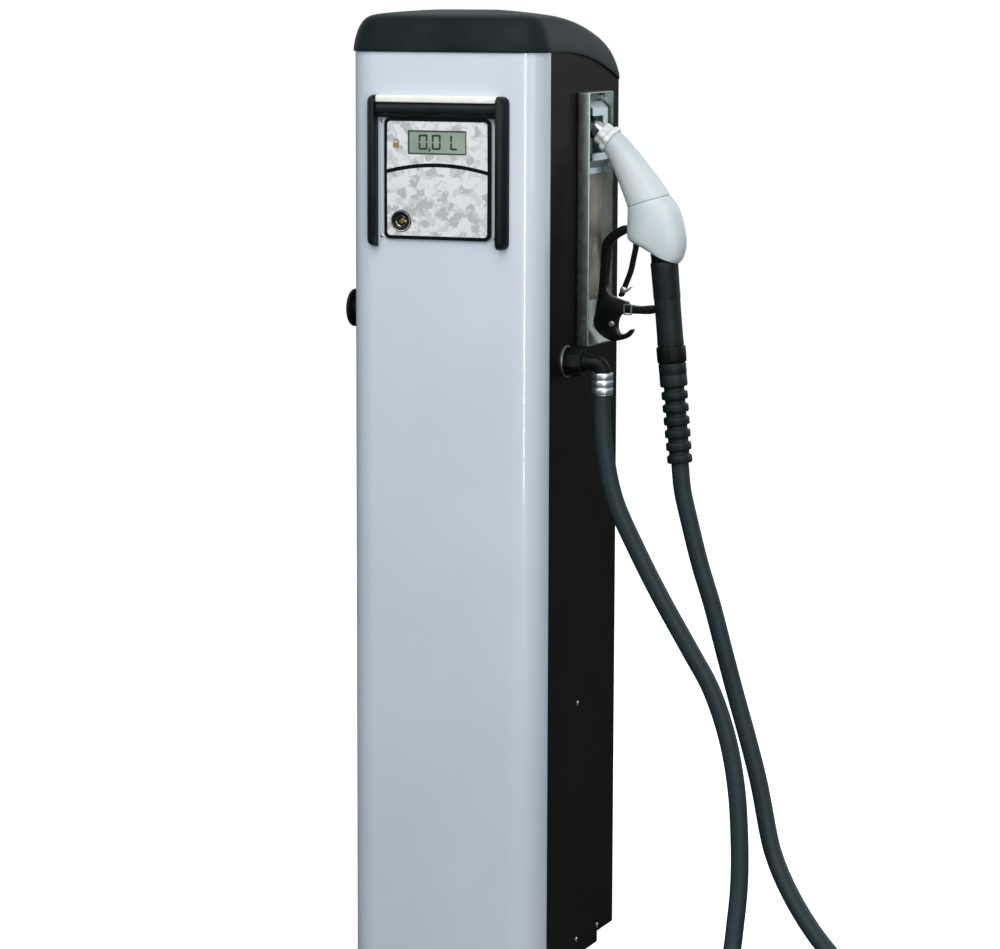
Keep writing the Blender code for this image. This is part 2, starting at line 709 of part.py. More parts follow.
def display_plate():
    back = FRONT_Y - GAP
    outline = rounded_rect(
        DISPLAY_X - PLATE_HALF_W, PLATE_Z[0], DISPLAY_X + PLATE_HALF_W, PLATE_Z[1], PLATE_R)
    window = rounded_rect(
        DISPLAY_X - WINDOW_HALF_W, WINDOW_Z[0], DISPLAY_X + WINDOW_HALF_W, WINDOW_Z[1], 0.0002, 1)
    key_hole = circle(DISPLAY_X + KEY_X, KEY_Z, KEY_BARREL_R + GAP)
    return plate("display_plate", outline, "XZ", (back - PLATE_T, back), PLATE_FILM, (window, key_hole))


def lcd_module():
    back = FRONT_Y - GAP
    return box(
        "lcd_module", (DISPLAY_X - WINDOW_HALF_W + GAP, back - PLATE_T + GAP, WINDOW_Z[0] + GAP),
        (DISPLAY_X + WINDOW_HALF_W - GAP, back + 0.010, WINDOW_Z[1] - GAP), LCD_GLASS)


def key_reader():
    face = FRONT_Y - GAP - PLATE_T - GAP
    x = DISPLAY_X + KEY_X
    bezel = (
        (KEY_CONTACT_R + GAP, 0.0022), (KEY_BEZEL_R - 0.0015, 0.0022), (KEY_BEZEL_R, 0.0008), (KEY_BEZEL_R, 0.0),
        (KEY_BARREL_R, 0.0), (KEY_BARREL_R, -0.016), (KEY_CONTACT_R + GAP, -0.016))
    turned("key_reader_bezel", bezel, (x, face, KEY_Z), (0, -1, 0), BRIGHT_STEEL, steps=28, ring=True)
    contact = (
        (0.0, 0.0004), (0.0025, 0.0004), (0.0032, -0.0008), (0.0070, -0.0008), (KEY_CONTACT_R, 0.0008),
        (KEY_CONTACT_R, -0.014), (0.0, -0.014))
    turned("key_reader_contact", contact, (x, face, KEY_Z), (0, -1, 0), BLACK_ABS, steps=28)


def display_housing():
    """Electronics box behind the face plate, open at the rear, with the control board across it."""
    front = FRONT_Y
    half = PLATE_HALF_W - 0.005
    low, high = PLATE_Z[0] + 0.007, PLATE_Z[1] - 0.007
    profile = [
        (DISPLAY_X - half, low), (DISPLAY_X + half, low), (DISPLAY_X + half, high), (DISPLAY_X - half, high)]
    inner = [
        (DISPLAY_X - half + HOUSING_WALL, low + HOUSING_WALL), (DISPLAY_X + half - HOUSING_WALL, low + HOUSING_WALL),
        (DISPLAY_X + half - HOUSING_WALL, high - HOUSING_WALL), (DISPLAY_X - half + HOUSING_WALL, high - HOUSING_WALL)]
    plate("display_housing", profile, "XZ", (front, front + HOUSING_DEPTH), BLACK_ABS, (inner,))
    board = [
        (DISPLAY_X - half + HOUSING_WALL + GAP, low + HOUSING_WALL + GAP),
        (DISPLAY_X + half - HOUSING_WALL - GAP, low + HOUSING_WALL + GAP),
        (DISPLAY_X + half - HOUSING_WALL - GAP, high - HOUSING_WALL - GAP),
        (DISPLAY_X - half + HOUSING_WALL + GAP, high - HOUSING_WALL - GAP)]
    plate("control_board", board, "XZ", (front + 0.022, front + 0.022 + BOARD_T), BOARD_GREEN)


def power_box():
    box(
        "power_box", (-INSIDE_X + GAP, 0.000, 0.930), (-INSIDE_X + GAP + POWER_BOX_DEPTH, 0.110, 1.080), MOTOR_PAINT)


# ---------------------------------------------------------------- holster
def holster_tray():
    """Galvanised tray with walls all round, screwed to the side panel, with a hole for the spout."""
    floor_x = HALF_W + GAP
    tray = box(
        "holster_tray", (floor_x, TRAY_Y[0], TRAY_Z[0]), (floor_x + TRAY_DEPTH, TRAY_Y[1], TRAY_Z[1]), TRAY_STEEL)
    inside = box(
        "tray_inside", (floor_x + TRAY_T, TRAY_Y[0] + TRAY_T, TRAY_Z[0] + TRAY_T),
        (floor_x + TRAY_DEPTH + 0.01, TRAY_Y[1] - TRAY_T, TRAY_Z[1] - TRAY_T), group=CUTTERS)
    hole = box(
        "tray_spout_hole", (floor_x - 0.01, NOZZLE_Y - 0.0155, SPOUT_Z - 0.0185),
        (floor_x + 0.006, NOZZLE_Y + 0.0155, SPOUT_Z + 0.0155), group=CUTTERS)
    return cut(cut(tray, inside), hole)


def spout_bracket():
    """Folded hood in front of the spout hole, with a slot that the spout passes."""
    seat = HALF_W + GAP + TRAY_T + GAP
    face = seat + BRACKET_OFF
    foot_low, face_low, face_high, foot_high = BRACKET_Z
    profile = [
        (seat + TRAY_T, foot_low - 0.008), (seat + TRAY_T, foot_low), (face, face_low), (face, face_high),
        (seat + TRAY_T, foot_high)]
    bracket = folded_sheet("spout_bracket", profile, "XZ", BRACKET_Y, TRAY_T, BRIGHT_STEEL, flip=True)
    slot = box(
        "bracket_slot", (seat - 0.01, BRACKET_Y[0] - 0.01, SPOUT_Z - 0.0400),
        (face + 0.01, NOZZLE_Y + COLLAR_R + 0.0008, SPOUT_Z + 0.0145), group=CUTTERS)
    return cut(bracket, slot)


def spout_socket():
    """Drip cup behind the side panel: a flange and a tube with a closed inner end."""
    flange_x = INSIDE_X - GAP
    inner_end = HALF_W + SPOUT_TIP_OUT - 0.010
    flange = box(
        "spout_socket", (flange_x - SHEET, NOZZLE_Y - 0.026, SPOUT_Z - 0.030),
        (flange_x, NOZZLE_Y + 0.026, SPOUT_Z + 0.030), BLACK_ABS)
    bore_r = SPOUT_R + 0.0006
    cup = rod(
        "socket_cup", (inner_end, NOZZLE_Y, SPOUT_Z), (flange_x - 0.0005, NOZZLE_Y, SPOUT_Z), bore_r + 0.0024,
        group=CUTTERS)
    bore = rod(
        "socket_bore", (inner_end + 0.002, NOZZLE_Y, SPOUT_Z), (flange_x + 0.01, NOZZLE_Y, SPOUT_Z), bore_r,
        group=CUTTERS)
    return cut(join(flange, cup), bore)


def holster_bolt():
    seat = HALF_W + GAP + TRAY_T + GAP
    return rod(
        "holster_bolt", (seat, TRAY_Y[1] - TRAY_T - BOLT_R - 0.003, TRAY_Z[1] - 0.009),
        (seat + 0.004, TRAY_Y[1] - TRAY_T - BOLT_R - 0.003, TRAY_Z[1] - 0.009), BOLT_R, BRIGHT_STEEL, sides=6)


def hose_hook():
    """Round post with an end disc, on the side away from the holster."""
    profile = (
        (0.0, HOOK_REACH), (HOOK_DISC_R - 0.002, HOOK_REACH), (HOOK_DISC_R, HOOK_REACH - 0.002),
        (HOOK_DISC_R, HOOK_REACH - HOOK_DISC_T), (HOOK_POST_R, HOOK_REACH - HOOK_DISC_T - 0.003),
        (HOOK_POST_R, 0.0), (0.0, 0.0))
    return turned("hose_hook", profile, (-HALF_W - GAP, OUTLET_Y, HOOK_Z), (-1, 0, 0), BLACK_ABS)


# ---------------------------------------------------------------- pump, motor and meter
def pump_shelf():
    profile = [
        (-SHELF_HALF_W, BASE_T + GAP), (-SHELF_HALF_W, SHELF_Z), (SHELF_HALF_W, SHELF_Z),
        (SHELF_HALF_W, BASE_T + GAP)]
    return folded_sheet("pump_shelf", profile, "XZ", SHELF_Y, SHEET, GREY_STEEL)


def pump_body():
    """Cast body with its chamber open to the front, a shaft bore at the back, and two port bosses."""
    length = PUMP_Y[1] - PUMP_Y[0]
    bore = SHAFT_R + GAP
    profile = (
        (CHAMBER_R, length), (PUMP_R, length), (PUMP_R, 0.0), (bore, 0.0), (bore, length - CHAMBER_DEPTH),
        (CHAMBER_R, length - CHAMBER_DEPTH))
    body = turned("pump_body", profile, (0, PUMP_Y[1], SHAFT_Z), (0, -1, 0), CAST_IRON, ring=True)
    port_y = OUTLET_Y
    start = CHAMBER_R + 0.005
    join(body, rod("suction_boss", (-start, port_y, SHAFT_Z), (-PORT_REACH, port_y, SHAFT_Z), PORT_R, group=CUTTERS))
    join(body, rod(
        "delivery_boss", (0, port_y, SHAFT_Z + start), (0, port_y, SHAFT_Z + PORT_REACH), PORT_R, group=CUTTERS))
    foot = box(
        "pump_foot", (-0.032, PUMP_Y[0] + 0.012, SHELF_Z + GAP), (0.032, PUMP_Y[1] - 0.008, SHAFT_Z - CHAMBER_R - 0.006),
        group=CUTTERS)
    join(body, foot)
    cut(body, rod(
        "suction_bore", (-CHAMBER_R + 0.006, port_y, SHAFT_Z), (-PORT_REACH - 0.01, port_y, SHAFT_Z),
        PIPE_R - PIPE_WALL, group=CUTTERS))
    cut(body, rod(
        "delivery_bore", (0, port_y, SHAFT_Z + CHAMBER_R - 0.006), (0, port_y, SHAFT_Z + PORT_REACH + 0.01),
        PIPE_R - PIPE_WALL, group=CUTTERS))
    return body


def pump_cover():
    front = PUMP_Y[0] - GAP
    profile = (
        (0.0, COVER_T), (0.020, COVER_T), (0.024, COVER_T - 0.004), (PUMP_R - 0.002, COVER_T - 0.004),
        (PUMP_R, COVER_T - 0.006), (PUMP_R, 0.0), (0.0, 0.0))
    return turned("pump_cover", profile, (0, front, SHAFT_Z), (0, -1, 0), CAST_IRON)


def pump_drive():
    """Everything that turns on the motor's shaft: shaft, impeller, armature and fan."""
    chamber_rear = PUMP_Y[0] + CHAMBER_DEPTH
    shaft_start = PUMP_Y[0] + 0.002
    shaft_end = MOTOR_Y[1] + 0.024
    rod("drive_shaft", (0, shaft_start, SHAFT_Z), (0, shaft_end, SHAFT_Z), SHAFT_R, BRIGHT_STEEL)
    bore = SHAFT_R + GAP
    impeller_rear = chamber_rear - 0.004
    impeller = sleeve(
        "pump_impeller", bore, IMPELLER_R, (0, impeller_rear - IMPELLER_LEN, SHAFT_Z), (0, impeller_rear, SHAFT_Z),
        BRASS)
    pocket_count = 12
    pocket_mid = impeller_rear - IMPELLER_LEN / 2
    for k in range(pocket_count):
        angle = 2 * math.pi * (k + 0.3) / pocket_count
        reach = Vector((math.cos(angle), 0, math.sin(angle)))
        centre = Vector((0, pocket_mid, SHAFT_Z))
        cut(impeller, rod(
            f"impeller_pocket_{k}", centre + reach * (IMPELLER_R - 0.008), centre + reach * (IMPELLER_R + 0.004),
            0.0065, group=CUTTERS, sides=6))
    stator_mid = (MOTOR_Y[0] + MOTOR_Y[1]) / 2
    rotor_y = (stator_mid - STATOR_LEN / 2, stator_mid + STATOR_LEN / 2)
    sleeve("motor_rotor", bore, ROTOR_R - 0.0005, (0, rotor_y[0], SHAFT_Z), (0, rotor_y[1], SHAFT_Z), GREY_STEEL)
    sleeve(
        "motor_stator", STATOR_R[0], STATOR_R[1], (0, rotor_y[0], SHAFT_Z), (0, rotor_y[1], SHAFT_Z), WINDING)
    fan_y = MOTOR_Y[1] + 0.004
    fan = sleeve("motor_fan", bore, 0.016, (0, fan_y, SHAFT_Z), (0, fan_y + 0.016, SHAFT_Z), BLACK_ABS)
    blade_count = 6
    for k in range(blade_count):
        blade = box(f"fan_blade_{k}", (0.012, -0.0015, -0.006), (FAN_R, 0.0015, 0.006), group=CUTTERS)
        spin = Matrix.Rotation(2 * math.pi * k / blade_count, 4, "Y")
        lean = Matrix.Rotation(math.radians(90), 4, "X")
        place = Matrix.Translation((0, fan_y + 0.008, SHAFT_Z))
        blade.matrix_world = place @ spin @ Matrix.Translation(((0.012 + FAN_R) / 2, 0, 0)) @ lean
        join(fan, blade)


def motor_housing():
    """Finned can, closed in front round the shaft, with feet on the shelf and a terminal box on top."""
    length = MOTOR_Y[1] - MOTOR_Y[0]
    bore = SHAFT_R + 0.0008
    inner = MOTOR_R - MOTOR_WALL
    profile = [(0.0, length), (MOTOR_R, length)]
    fin_count = 6
    for k in range(fin_count):
        top = length - 0.012 - k * 0.015
        root_r = MOTOR_R - 0.0025
        profile += [(MOTOR_R, top), (root_r, top - 0.001), (root_r, top - 0.008), (MOTOR_R, top - 0.009)]
    profile += [(MOTOR_R, 0.0), (0.0, 0.0)]
    can = turned("motor_housing", profile, (0, MOTOR_Y[0], SHAFT_Z), (0, 1, 0), MOTOR_PAINT)
    join(can, box(
        "motor_foot", (-0.045, MOTOR_Y[0] + 0.0155, SHELF_Z + GAP),
        (0.045, SHELF_Y[1] - 0.005, SHAFT_Z - MOTOR_R + 0.0150), group=CUTTERS))
    join(can, box(
        "terminal_box", (-0.030, MOTOR_Y[0] + 0.0305, SHAFT_Z + MOTOR_R - 0.010),
        (0.030, MOTOR_Y[0] + 0.0905, SHAFT_Z + MOTOR_R + 0.030), group=CUTTERS))
    cut(can, rod(
        "motor_inside", (0, MOTOR_Y[0] + 0.008, SHAFT_Z), (0, MOTOR_Y[1] + 0.01, SHAFT_Z), inner, group=CUTTERS))
    return cut(can, rod(
        "motor_bore", (0, MOTOR_Y[0] - 0.01, SHAFT_Z), (0, MOTOR_Y[0] + 0.02, SHAFT_Z), bore, group=CUTTERS))


def fan_cover():
    start = MOTOR_Y[1] + GAP
    length = 0.032
    profile = (
        (0.0, length), (MOTOR_R - 0.006, length), (MOTOR_R, length - 0.006), (MOTOR_R, 0.0), (MOTOR_R - 0.002, 0.0),
        (MOTOR_R - 0.002, length - 0.007), (MOTOR_R - 0.007, length - 0.002), (0.0, length - 0.002))
    cover = turned("fan_cover", profile, (0, start, SHAFT_Z), (0, 1, 0), BLACK_ABS)
    for k in range(8):
        angle = 2 * math.pi * (k + 0.5) / 8
        centre = Vector((0.034 * math.cos(angle), start + length, SHAFT_Z + 0.034 * math.sin(angle)))
        cut(cover, rod(
            f"grille_hole_{k}", centre - Vector((0, 0.006, 0)), centre + Vector((0, 0.006, 0)), 0.008, group=CUTTERS,
            sides=10))
    return cover


def pipes():
    corner = (SUCTION_X, SUCTION_Y, SHAFT_Z)
    halfway = (SUCTION_X, 0.0, SHAFT_Z)
    rise = bend((SUCTION_X, SUCTION_Y, 0.004), corner, halfway, 0.045)
    turn = bend(halfway, (SUCTION_X, OUTLET_Y, SHAFT_Z), (-PORT_REACH - GAP, OUTLET_Y, SHAFT_Z), 0.022)
    pipe("suction_pipe", rise[:-1] + turn, SUCTION_R, PIPE_WALL, GREY_STEEL)
    delivery = (
        (0, OUTLET_Y, SHAFT_Z + PORT_REACH + GAP), (0, OUTLET_Y, 0.60), (0.003, OUTLET_Y, 0.635),
        (METER_X - 0.003, OUTLET_Y, 0.690), (METER_X, OUTLET_Y, 0.725), (METER_X, OUTLET_Y, METER_Z[0] - GAP))
    pipe("delivery_pipe", delivery, PIPE_R, PIPE_WALL, GREY_STEEL)
    outlet = bend(
        (METER_X, OUTLET_Y, METER_Z[1] + GAP), (METER_X, OUTLET_Y, OUTLET_Z),
        (ELBOW_START_X - GAP, OUTLET_Y, OUTLET_Z), 0.030)
    pipe("outlet_pipe", outlet, PIPE_R, PIPE_WALL, GREY_STEEL)


def meter():
    bore = PIPE_R - PIPE_WALL
    length = METER_Z[1] - METER_Z[0]
    chamber = (0.020, length - 0.020)
    profile = (
        (bore, length), (METER_R - 0.004, length), (METER_R, length - 0.004), (METER_R, 0.004), (METER_R - 0.004, 0.0),
        (bore, 0.0), (bore, chamber[0]), (METER_CHAMBER_R, chamber[0] + 0.004), (METER_CHAMBER_R, chamber[1] - 0.004),
        (bore, chamber[1]))
    turned("meter_body", profile, (METER_X, OUTLET_Y, METER_Z[0]), (0, 0, 1), ALUMINIUM, ring=True)
    middle = METER_Z[0] + length / 2
    rotor = rod(
        "meter_rotor", (METER_X, OUTLET_Y, METER_Z[0] + 0.002), (METER_X, OUTLET_Y, METER_Z[1] - 0.002),
        0.0045, BRASS, sides=16)
    blade_count = 6
    for k in range(blade_count):
        blade = box(f"meter_blade_{k}", (0, 0, 0), (METER_CHAMBER_R - 0.001, 0.0016, 0.016), group=CUTTERS)
        spin = Matrix.Rotation(2 * math.pi * k / blade_count, 4, "Z")
        offset = Matrix.Translation(((METER_CHAMBER_R - 0.001) / 2, 0, 0))
        pitch = Matrix.Rotation(math.radians(35), 4, "X")
        blade.matrix_world = Matrix.Translation((METER_X, OUTLET_Y, middle)) @ spin @ offset @ pitch
        join(rotor, blade)


# ---------------------------------------------------------------- hose outlet and hose
def hose_outlet():
    face = HALF_W + GAP
    bore = PIPE_R + GAP
    nut = sleeve(
        "outlet_nut", bore, NUT_R, (face + WASHER_T - 0.0005, OUTLET_Y, OUTLET_Z), (NUT_X, OUTLET_Y, OUTLET_Z),
        BLACK_ABS, steps=8)
    washer = sleeve(
        "outlet_washer", bore + 0.001, WASHER_R, (face, OUTLET_Y, OUTLET_Z), (face + WASHER_T, OUTLET_Y, OUTLET_Z),
        group=CUTTERS)
    cut(join(nut, washer), rod(
        "nut_bore", (face - 0.01, OUTLET_Y, OUTLET_Z), (NUT_X + 0.01, OUTLET_Y, OUTLET_Z), bore + 0.0011,
        group=CUTTERS))
    path = bend(
        (ELBOW_START_X, OUTLET_Y, OUTLET_Z), (ELBOW_X, OUTLET_Y, OUTLET_Z),
        (ELBOW_X, OUTLET_Y, FERRULE_Z[0] + 0.004), ELBOW_R)
    pipe("outlet_elbow", path, PIPE_R, PIPE_WALL, BLACK_ABS)
    low, high = FERRULE_Z
    band = (high - low) / 3
    profile = [(bore, high - low)]
    for k in range(3):
        top = high - low - k * band
        profile += [
            (FERRULE_R - 0.001, top), (FERRULE_R, top - 0.002), (FERRULE_R, top - band + 0.003),
            (FERRULE_R - 0.001, top - band + 0.0010)]
    profile += [(FERRULE_R - 0.001, 0.0), (bore, 0.0)]
    turned("hose_ferrule", profile, (ELBOW_X, OUTLET_Y, low), (0, 0, 1), FERRULE_METAL, ring=True)


def delivery_hose():
    """Hose from the ferrule to the floor, a coil of its spare length, and the run up to the nozzle."""
    hose("hose_drop", DROP_ROUTE, HOSE_R, RUBBER, 0.062)
    hose("hose_rise", RISE_ROUTE, HOSE_R, RUBBER, 0.062)
    inner = COIL_TRACKS[0] - HOSE_R
    outer = COIL_TRACKS[1] + HOSE_R
    nested = HOSE_R * (2 + math.sqrt(3))
    profile = (
        (inner + 0.010, nested), (outer - 0.010, nested), (outer, nested - 0.020), (outer, 0.004), (outer - 0.004, 0.0),
        (inner + 0.004, 0.0), (inner, 0.004), (inner, nested - 0.020))
    turned("hose_coil", profile, (*COIL_CENTRE, 0.0), (0, 0, 1), RUBBER, steps=36, ring=True)


# ---------------------------------------------------------------- nozzle
def cover_ring(section, sides=24):
    (x, z), half_in, half_across, tilt = section
    centre = on_nozzle(x, z)
    long_way = Vector((math.cos(math.radians(tilt)), 0, math.sin(math.radians(tilt))))
    points = []
    for k in range(sides):
        angle = 2 * math.pi * k / sides
        points.append(
            centre + long_way * half_in * math.cos(angle) + Vector((0, half_across * math.sin(angle), 0)))
    return points


def between_sections(first, second, share):
    (x0, z0), a0, b0, t0 = first
    (x1, z1), a1, b1, t1 = second
    return (
        (x0 + (x1 - x0) * share, z0 + (z1 - z0) * share), a0 + (a1 - a0) * share, b0 + (b1 - b0) * share,
        t0 + (t1 - t0) * share)


def nozzle_covers():
    """White moulded cover in two shells that meet at the step across its middle."""
    split = COVER_SECTIONS[COVER_SPLIT]
    before = between_sections(COVER_SECTIONS[COVER_SPLIT - 1], split, 0.97)
    front = [cover_ring(s) for s in (*COVER_SECTIONS[:COVER_SPLIT], before)]
    rear = [cover_ring(s) for s in COVER_SECTIONS[COVER_SPLIT:]]
    solidify(loft("nozzle_cover_front", front, WHITE_MOULDING, caps=False), COVER_WALL)
    rear_cover = solidify(loft("nozzle_cover_rear", rear, WHITE_MOULDING, caps=False), COVER_WALL)
    slot = box(
        "trigger_slot", on_nozzle(0.0625, 1.045, -TRIGGER_HALF_W - 0.0015),
        on_nozzle(0.0920, 1.0830, TRIGGER_HALF_W + 0.0015), group=CUTTERS)
    return cut(rear_cover, slot)


def nozzle_body():
    """Cast body: barrel towards the spout, handle pipe, and two ears for the trigger's pin."""
    start, end = on_nozzle(*BARREL_START), on_nozzle(*BARREL_END)
    axis = (end - start).normalized()
    body = rod("nozzle_body", start + axis * 0.055, end, BARREL_R[1], ALUMINIUM)
    join(body, rod("body_neck", start + axis * 0.006, start + axis * 0.060, BARREL_R[0], group=CUTTERS))
    join(body, rod("handle_pipe", along_handle(-0.040), along_handle(0.150), HANDLE_PIPE_R, group=CUTTERS))
    ear = TRIGGER_HALF_W + 0.0005
    ear_t = 0.003
    for side in (-1, 1):
        faces = sorted((side * ear, side * (ear + ear_t)))
        join(body, box(
            f"trigger_ear_{side}", on_nozzle(TRIGGER_PIVOT[0] - 0.0055, TRIGGER_PIVOT[1] - 0.0055, faces[0]),
            on_nozzle(0.1100, TRIGGER_PIVOT[1] + 0.015, faces[1]), group=CUTTERS))
    cut(body, rod("barrel_bore", start - axis * 0.01, end - axis * 0.008, BARREL_BORE_R, group=CUTTERS))
    cut(body, rod("handle_bore", along_handle(-0.030), along_handle(0.160), 0.0095, group=CUTTERS))
    cut(body, rod(
        "pin_bore", on_nozzle(*TRIGGER_PIVOT, -0.02), on_nozzle(*TRIGGER_PIVOT, 0.02), TRIGGER_PIN_R + GAP,
        group=CUTTERS, sides=16))
    return body


def nozzle_valve():
    """Poppet and stem in the barrel's bore; the trigger lifts it."""
    start, end = on_nozzle(*BARREL_START), on_nozzle(*BARREL_END)
    axis = (end - start).normalized()
    profile = (
        (0.0, 0.034), (0.003, 0.034), (0.003, 0.006), (BARREL_BORE_R - 0.0004, 0.006), (BARREL_BORE_R - 0.0004, 0.002),
        (BARREL_BORE_R - 0.003, 0.0), (0.0, 0.0))
    return turned("nozzle_valve", profile, start + axis * 0.072, axis, BRASS, steps=20)


def spout():
    start = on_nozzle(*NECK_END) + NECK_DIR * GAP
    corner = start + NECK_DIR * (SPOUT_Z - start.z) / NECK_DIR.z
    path = bend(start, corner, on_nozzle(SPOUT_TIP_OUT, SPOUT_Z), 0.035)
    return pipe("spout", path, SPOUT_R, SPOUT_WALL, BRIGHT_STEEL, sides=24)


def splash_collar():
    start = on_nozzle(*NECK_END) + NECK_DIR * 2 * GAP
    return sleeve(
        "splash_collar", SPOUT_R + GAP, COLLAR_R, start, start + NECK_DIR * COLLAR_LEN, CLEAR_MOULDING, steps=24)


def nozzle_grip():
    low, high = GRIP_SPAN
    length = high - low
    bore = HANDLE_PIPE_R + GAP
    profile = (
        (bore, length), (GRIP_R[1] - 0.001, length), (GRIP_R[1], length - 0.001), (GRIP_R[0], 0.001),
        (GRIP_R[0] - 0.001, 0.0), (bore, 0.0))
    return turned("nozzle_grip", profile, along_handle(low), HANDLE_DIR, RUBBER, ring=True)


def swivel_and_protector():
    bore = HANDLE_PIPE_R + GAP
    low, high = SWIVEL_SPAN
    length = high - low
    ring = (
        (bore, length), (SWIVEL_R - 0.001, length), (SWIVEL_R, length - 0.001), (SWIVEL_R, 0.001),
        (SWIVEL_R - 0.001, 0.0), (bore, 0.0))
    turned("swivel_ring", ring, along_handle(low), HANDLE_DIR, BLACK_ABS, ring=True)
    low, high = PROTECTOR_SPAN
    length = high - low
    sleeve_end = 0.035
    pitch = (length - sleeve_end) / PROTECTOR_RIBS
    hose_bore = HOSE_R + GAP
    profile = [(hose_bore, length)]
    for k in range(PROTECTOR_RIBS):
        top = length - k * pitch
        rib = 0.0178 + 0.0010 * k / (PROTECTOR_RIBS - 1)
        profile += [
(rib, top), (rib, top - pitch * 0.62), (0.0152, top - pitch * 0.66), (0.0152, top - pitch + 0.0005)]
    profile += [
        (PROTECTOR_SLEEVE_R - 0.001, sleeve_end), (PROTECTOR_SLEEVE_R, sleeve_end - 0.001),
        (PROTECTOR_SLEEVE_R, 0.001), (PROTECTOR_SLEEVE_R - 0.001, 0.0), (0.008, 0.0), (0.008, 0.006), (hose_bore, 0.006)]
    turned("bend_protector", profile, along_handle(low), HANDLE_DIR, RUBBER, steps=20, ring=True)


def trigger_guard():
    """Flat guard from the cover round to the handle, with a foot that stands in the tray and a curved hook."""
    outline = (
        (0.0585, 1.0965), (0.0460, 1.0915), (0.0330, 1.0820), (0.0245, 1.0700), (0.0222, 1.0450), (0.0188, 1.0000),
        (0.0140, 0.9680), (0.0112, 0.9550), (0.0140, 0.9440), (0.0240, 0.9340), (0.0350, 0.9285), (0.0460, 0.9272),
        (0.0580, 0.9296), (0.0670, 0.9350), (0.0725, 0.9440), (0.0695, 0.9452), (0.0620, 0.9392), (0.0540, 0.9365),
        (0.0490, 0.9400), (0.0470, 0.9500), (0.0500, 0.9620), (0.0580, 0.9680), (0.0750, 0.9680), (0.1051, 0.9695),
        (0.1040, 0.9805), (0.0800, 0.9790), (0.0580, 0.9825), (0.0420, 0.9895), (0.0330, 0.9985), (0.0308, 1.0120),
        (0.0338, 1.0450), (0.0360, 1.0640), (0.0460, 1.0770), (0.0585, 1.0850))
    placed = [(HALF_W + out, z) for out, z in outline]
    return bevel(plate(
        "trigger_guard", placed, "XZ", (NOZZLE_Y - GUARD_HALF_W, NOZZLE_Y + GUARD_HALF_W), BLACK_ABS), 0.0008, 1)


def trigger():
    """Lever with an eye on the pin; its origin is on the pin's axis."""
    px, pz = TRIGGER_PIVOT
    spine = ((0.0775, 1.0800), (0.0740, 1.0620), (0.0710, 1.0480), (0.0670, 1.0300), (0.0600, 1.0120), (0.0520, 0.9925))
    half = (0.0052, 0.0028, 0.0026, 0.0024, 0.0030, 0.0022)
    left, right = [], []
    for k, (x, z) in enumerate(spine):
        ahead = Vector(spine[min(k + 1, len(spine) - 1)]) - Vector(spine[max(k - 1, 0)])
        ahead.normalize()
        side = Vector((-ahead.y, ahead.x))
        left.append((x + side.x * half[k] - px, z + side.y * half[k] - pz))
        right.append((x - side.x * half[k] - px, z - side.y * half[k] - pz))
    crown = [
        (0.0052 * math.cos(math.radians(a)), 0.0052 * math.sin(math.radians(a))) for a in (170, 130, 90, 50, 10)]
    outline = [*left[1:], *reversed(right[1:]), *crown]
    lever = plate("trigger", outline, "XZ", (-TRIGGER_HALF_W, TRIGGER_HALF_W), BLACK_ABS)
    lever.location = on_nozzle(px, pz)
    eye = rod(
        "trigger_eye", on_nozzle(px, pz, -0.02), on_nozzle(px, pz, 0.02), TRIGGER_PIN_R + GAP, group=CUTTERS, sides=16)
    cut(lever, eye)
    rod("trigger_pin", on_nozzle(px, pz, -0.0103), on_nozzle(px, pz, 0.0103), TRIGGER_PIN_R, BRIGHT_STEEL, sides=16)


def hold_open_latch():
    """Small claw beside the trigger's lower end that holds it open."""
    x, z = LATCH_PIVOT
    outline = (
        (-0.0022, -0.0045), (0.0045, -0.0052), (0.0100, -0.0020), (0.0165, 0.0042), (0.0150, 0.0050),
        (0.0085, 0.0012), (0.0050, 0.0030), (-0.0012, 0.0032))
    near = TRIGGER_HALF_W + GAP
    claw = plate("hold_open_latch", outline, "XZ", (near, near + 0.0035), BRIGHT_STEEL)
    claw.location = on_nozzle(x, z, -near - 0.00175)
    return claw


base_pan()
front_panel()
side_panels()
rear_panel()
lid()
corner_posts()
top_frame()
display_frame()
lamp_strip()
display_plate()
lcd_module()
key_reader()
display_housing()
power_box()
holster_tray()
spout_bracket()
spout_socket()
holster_bolt()
hose_hook()
pump_shelf()
pump_body()
pump_cover()
pump_drive()
motor_housing()
fan_cover()
pipes()
meter()
hose_outlet()
delivery_hose()
nozzle_covers()
nozzle_body()
nozzle_valve()
spout()
splash_collar()
nozzle_grip()
swivel_and_protector()
trigger_guard()
trigger()
hold_open_latch()
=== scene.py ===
"""Looks of a pedestal fuel dispenser: sheet-steel column, display, side holster, hose and automatic nozzle.

Metres, +Z up, the display towards -Y and the holster towards +X.
"""
import math

import bmesh
import bpy
from mathutils import Matrix, Vector


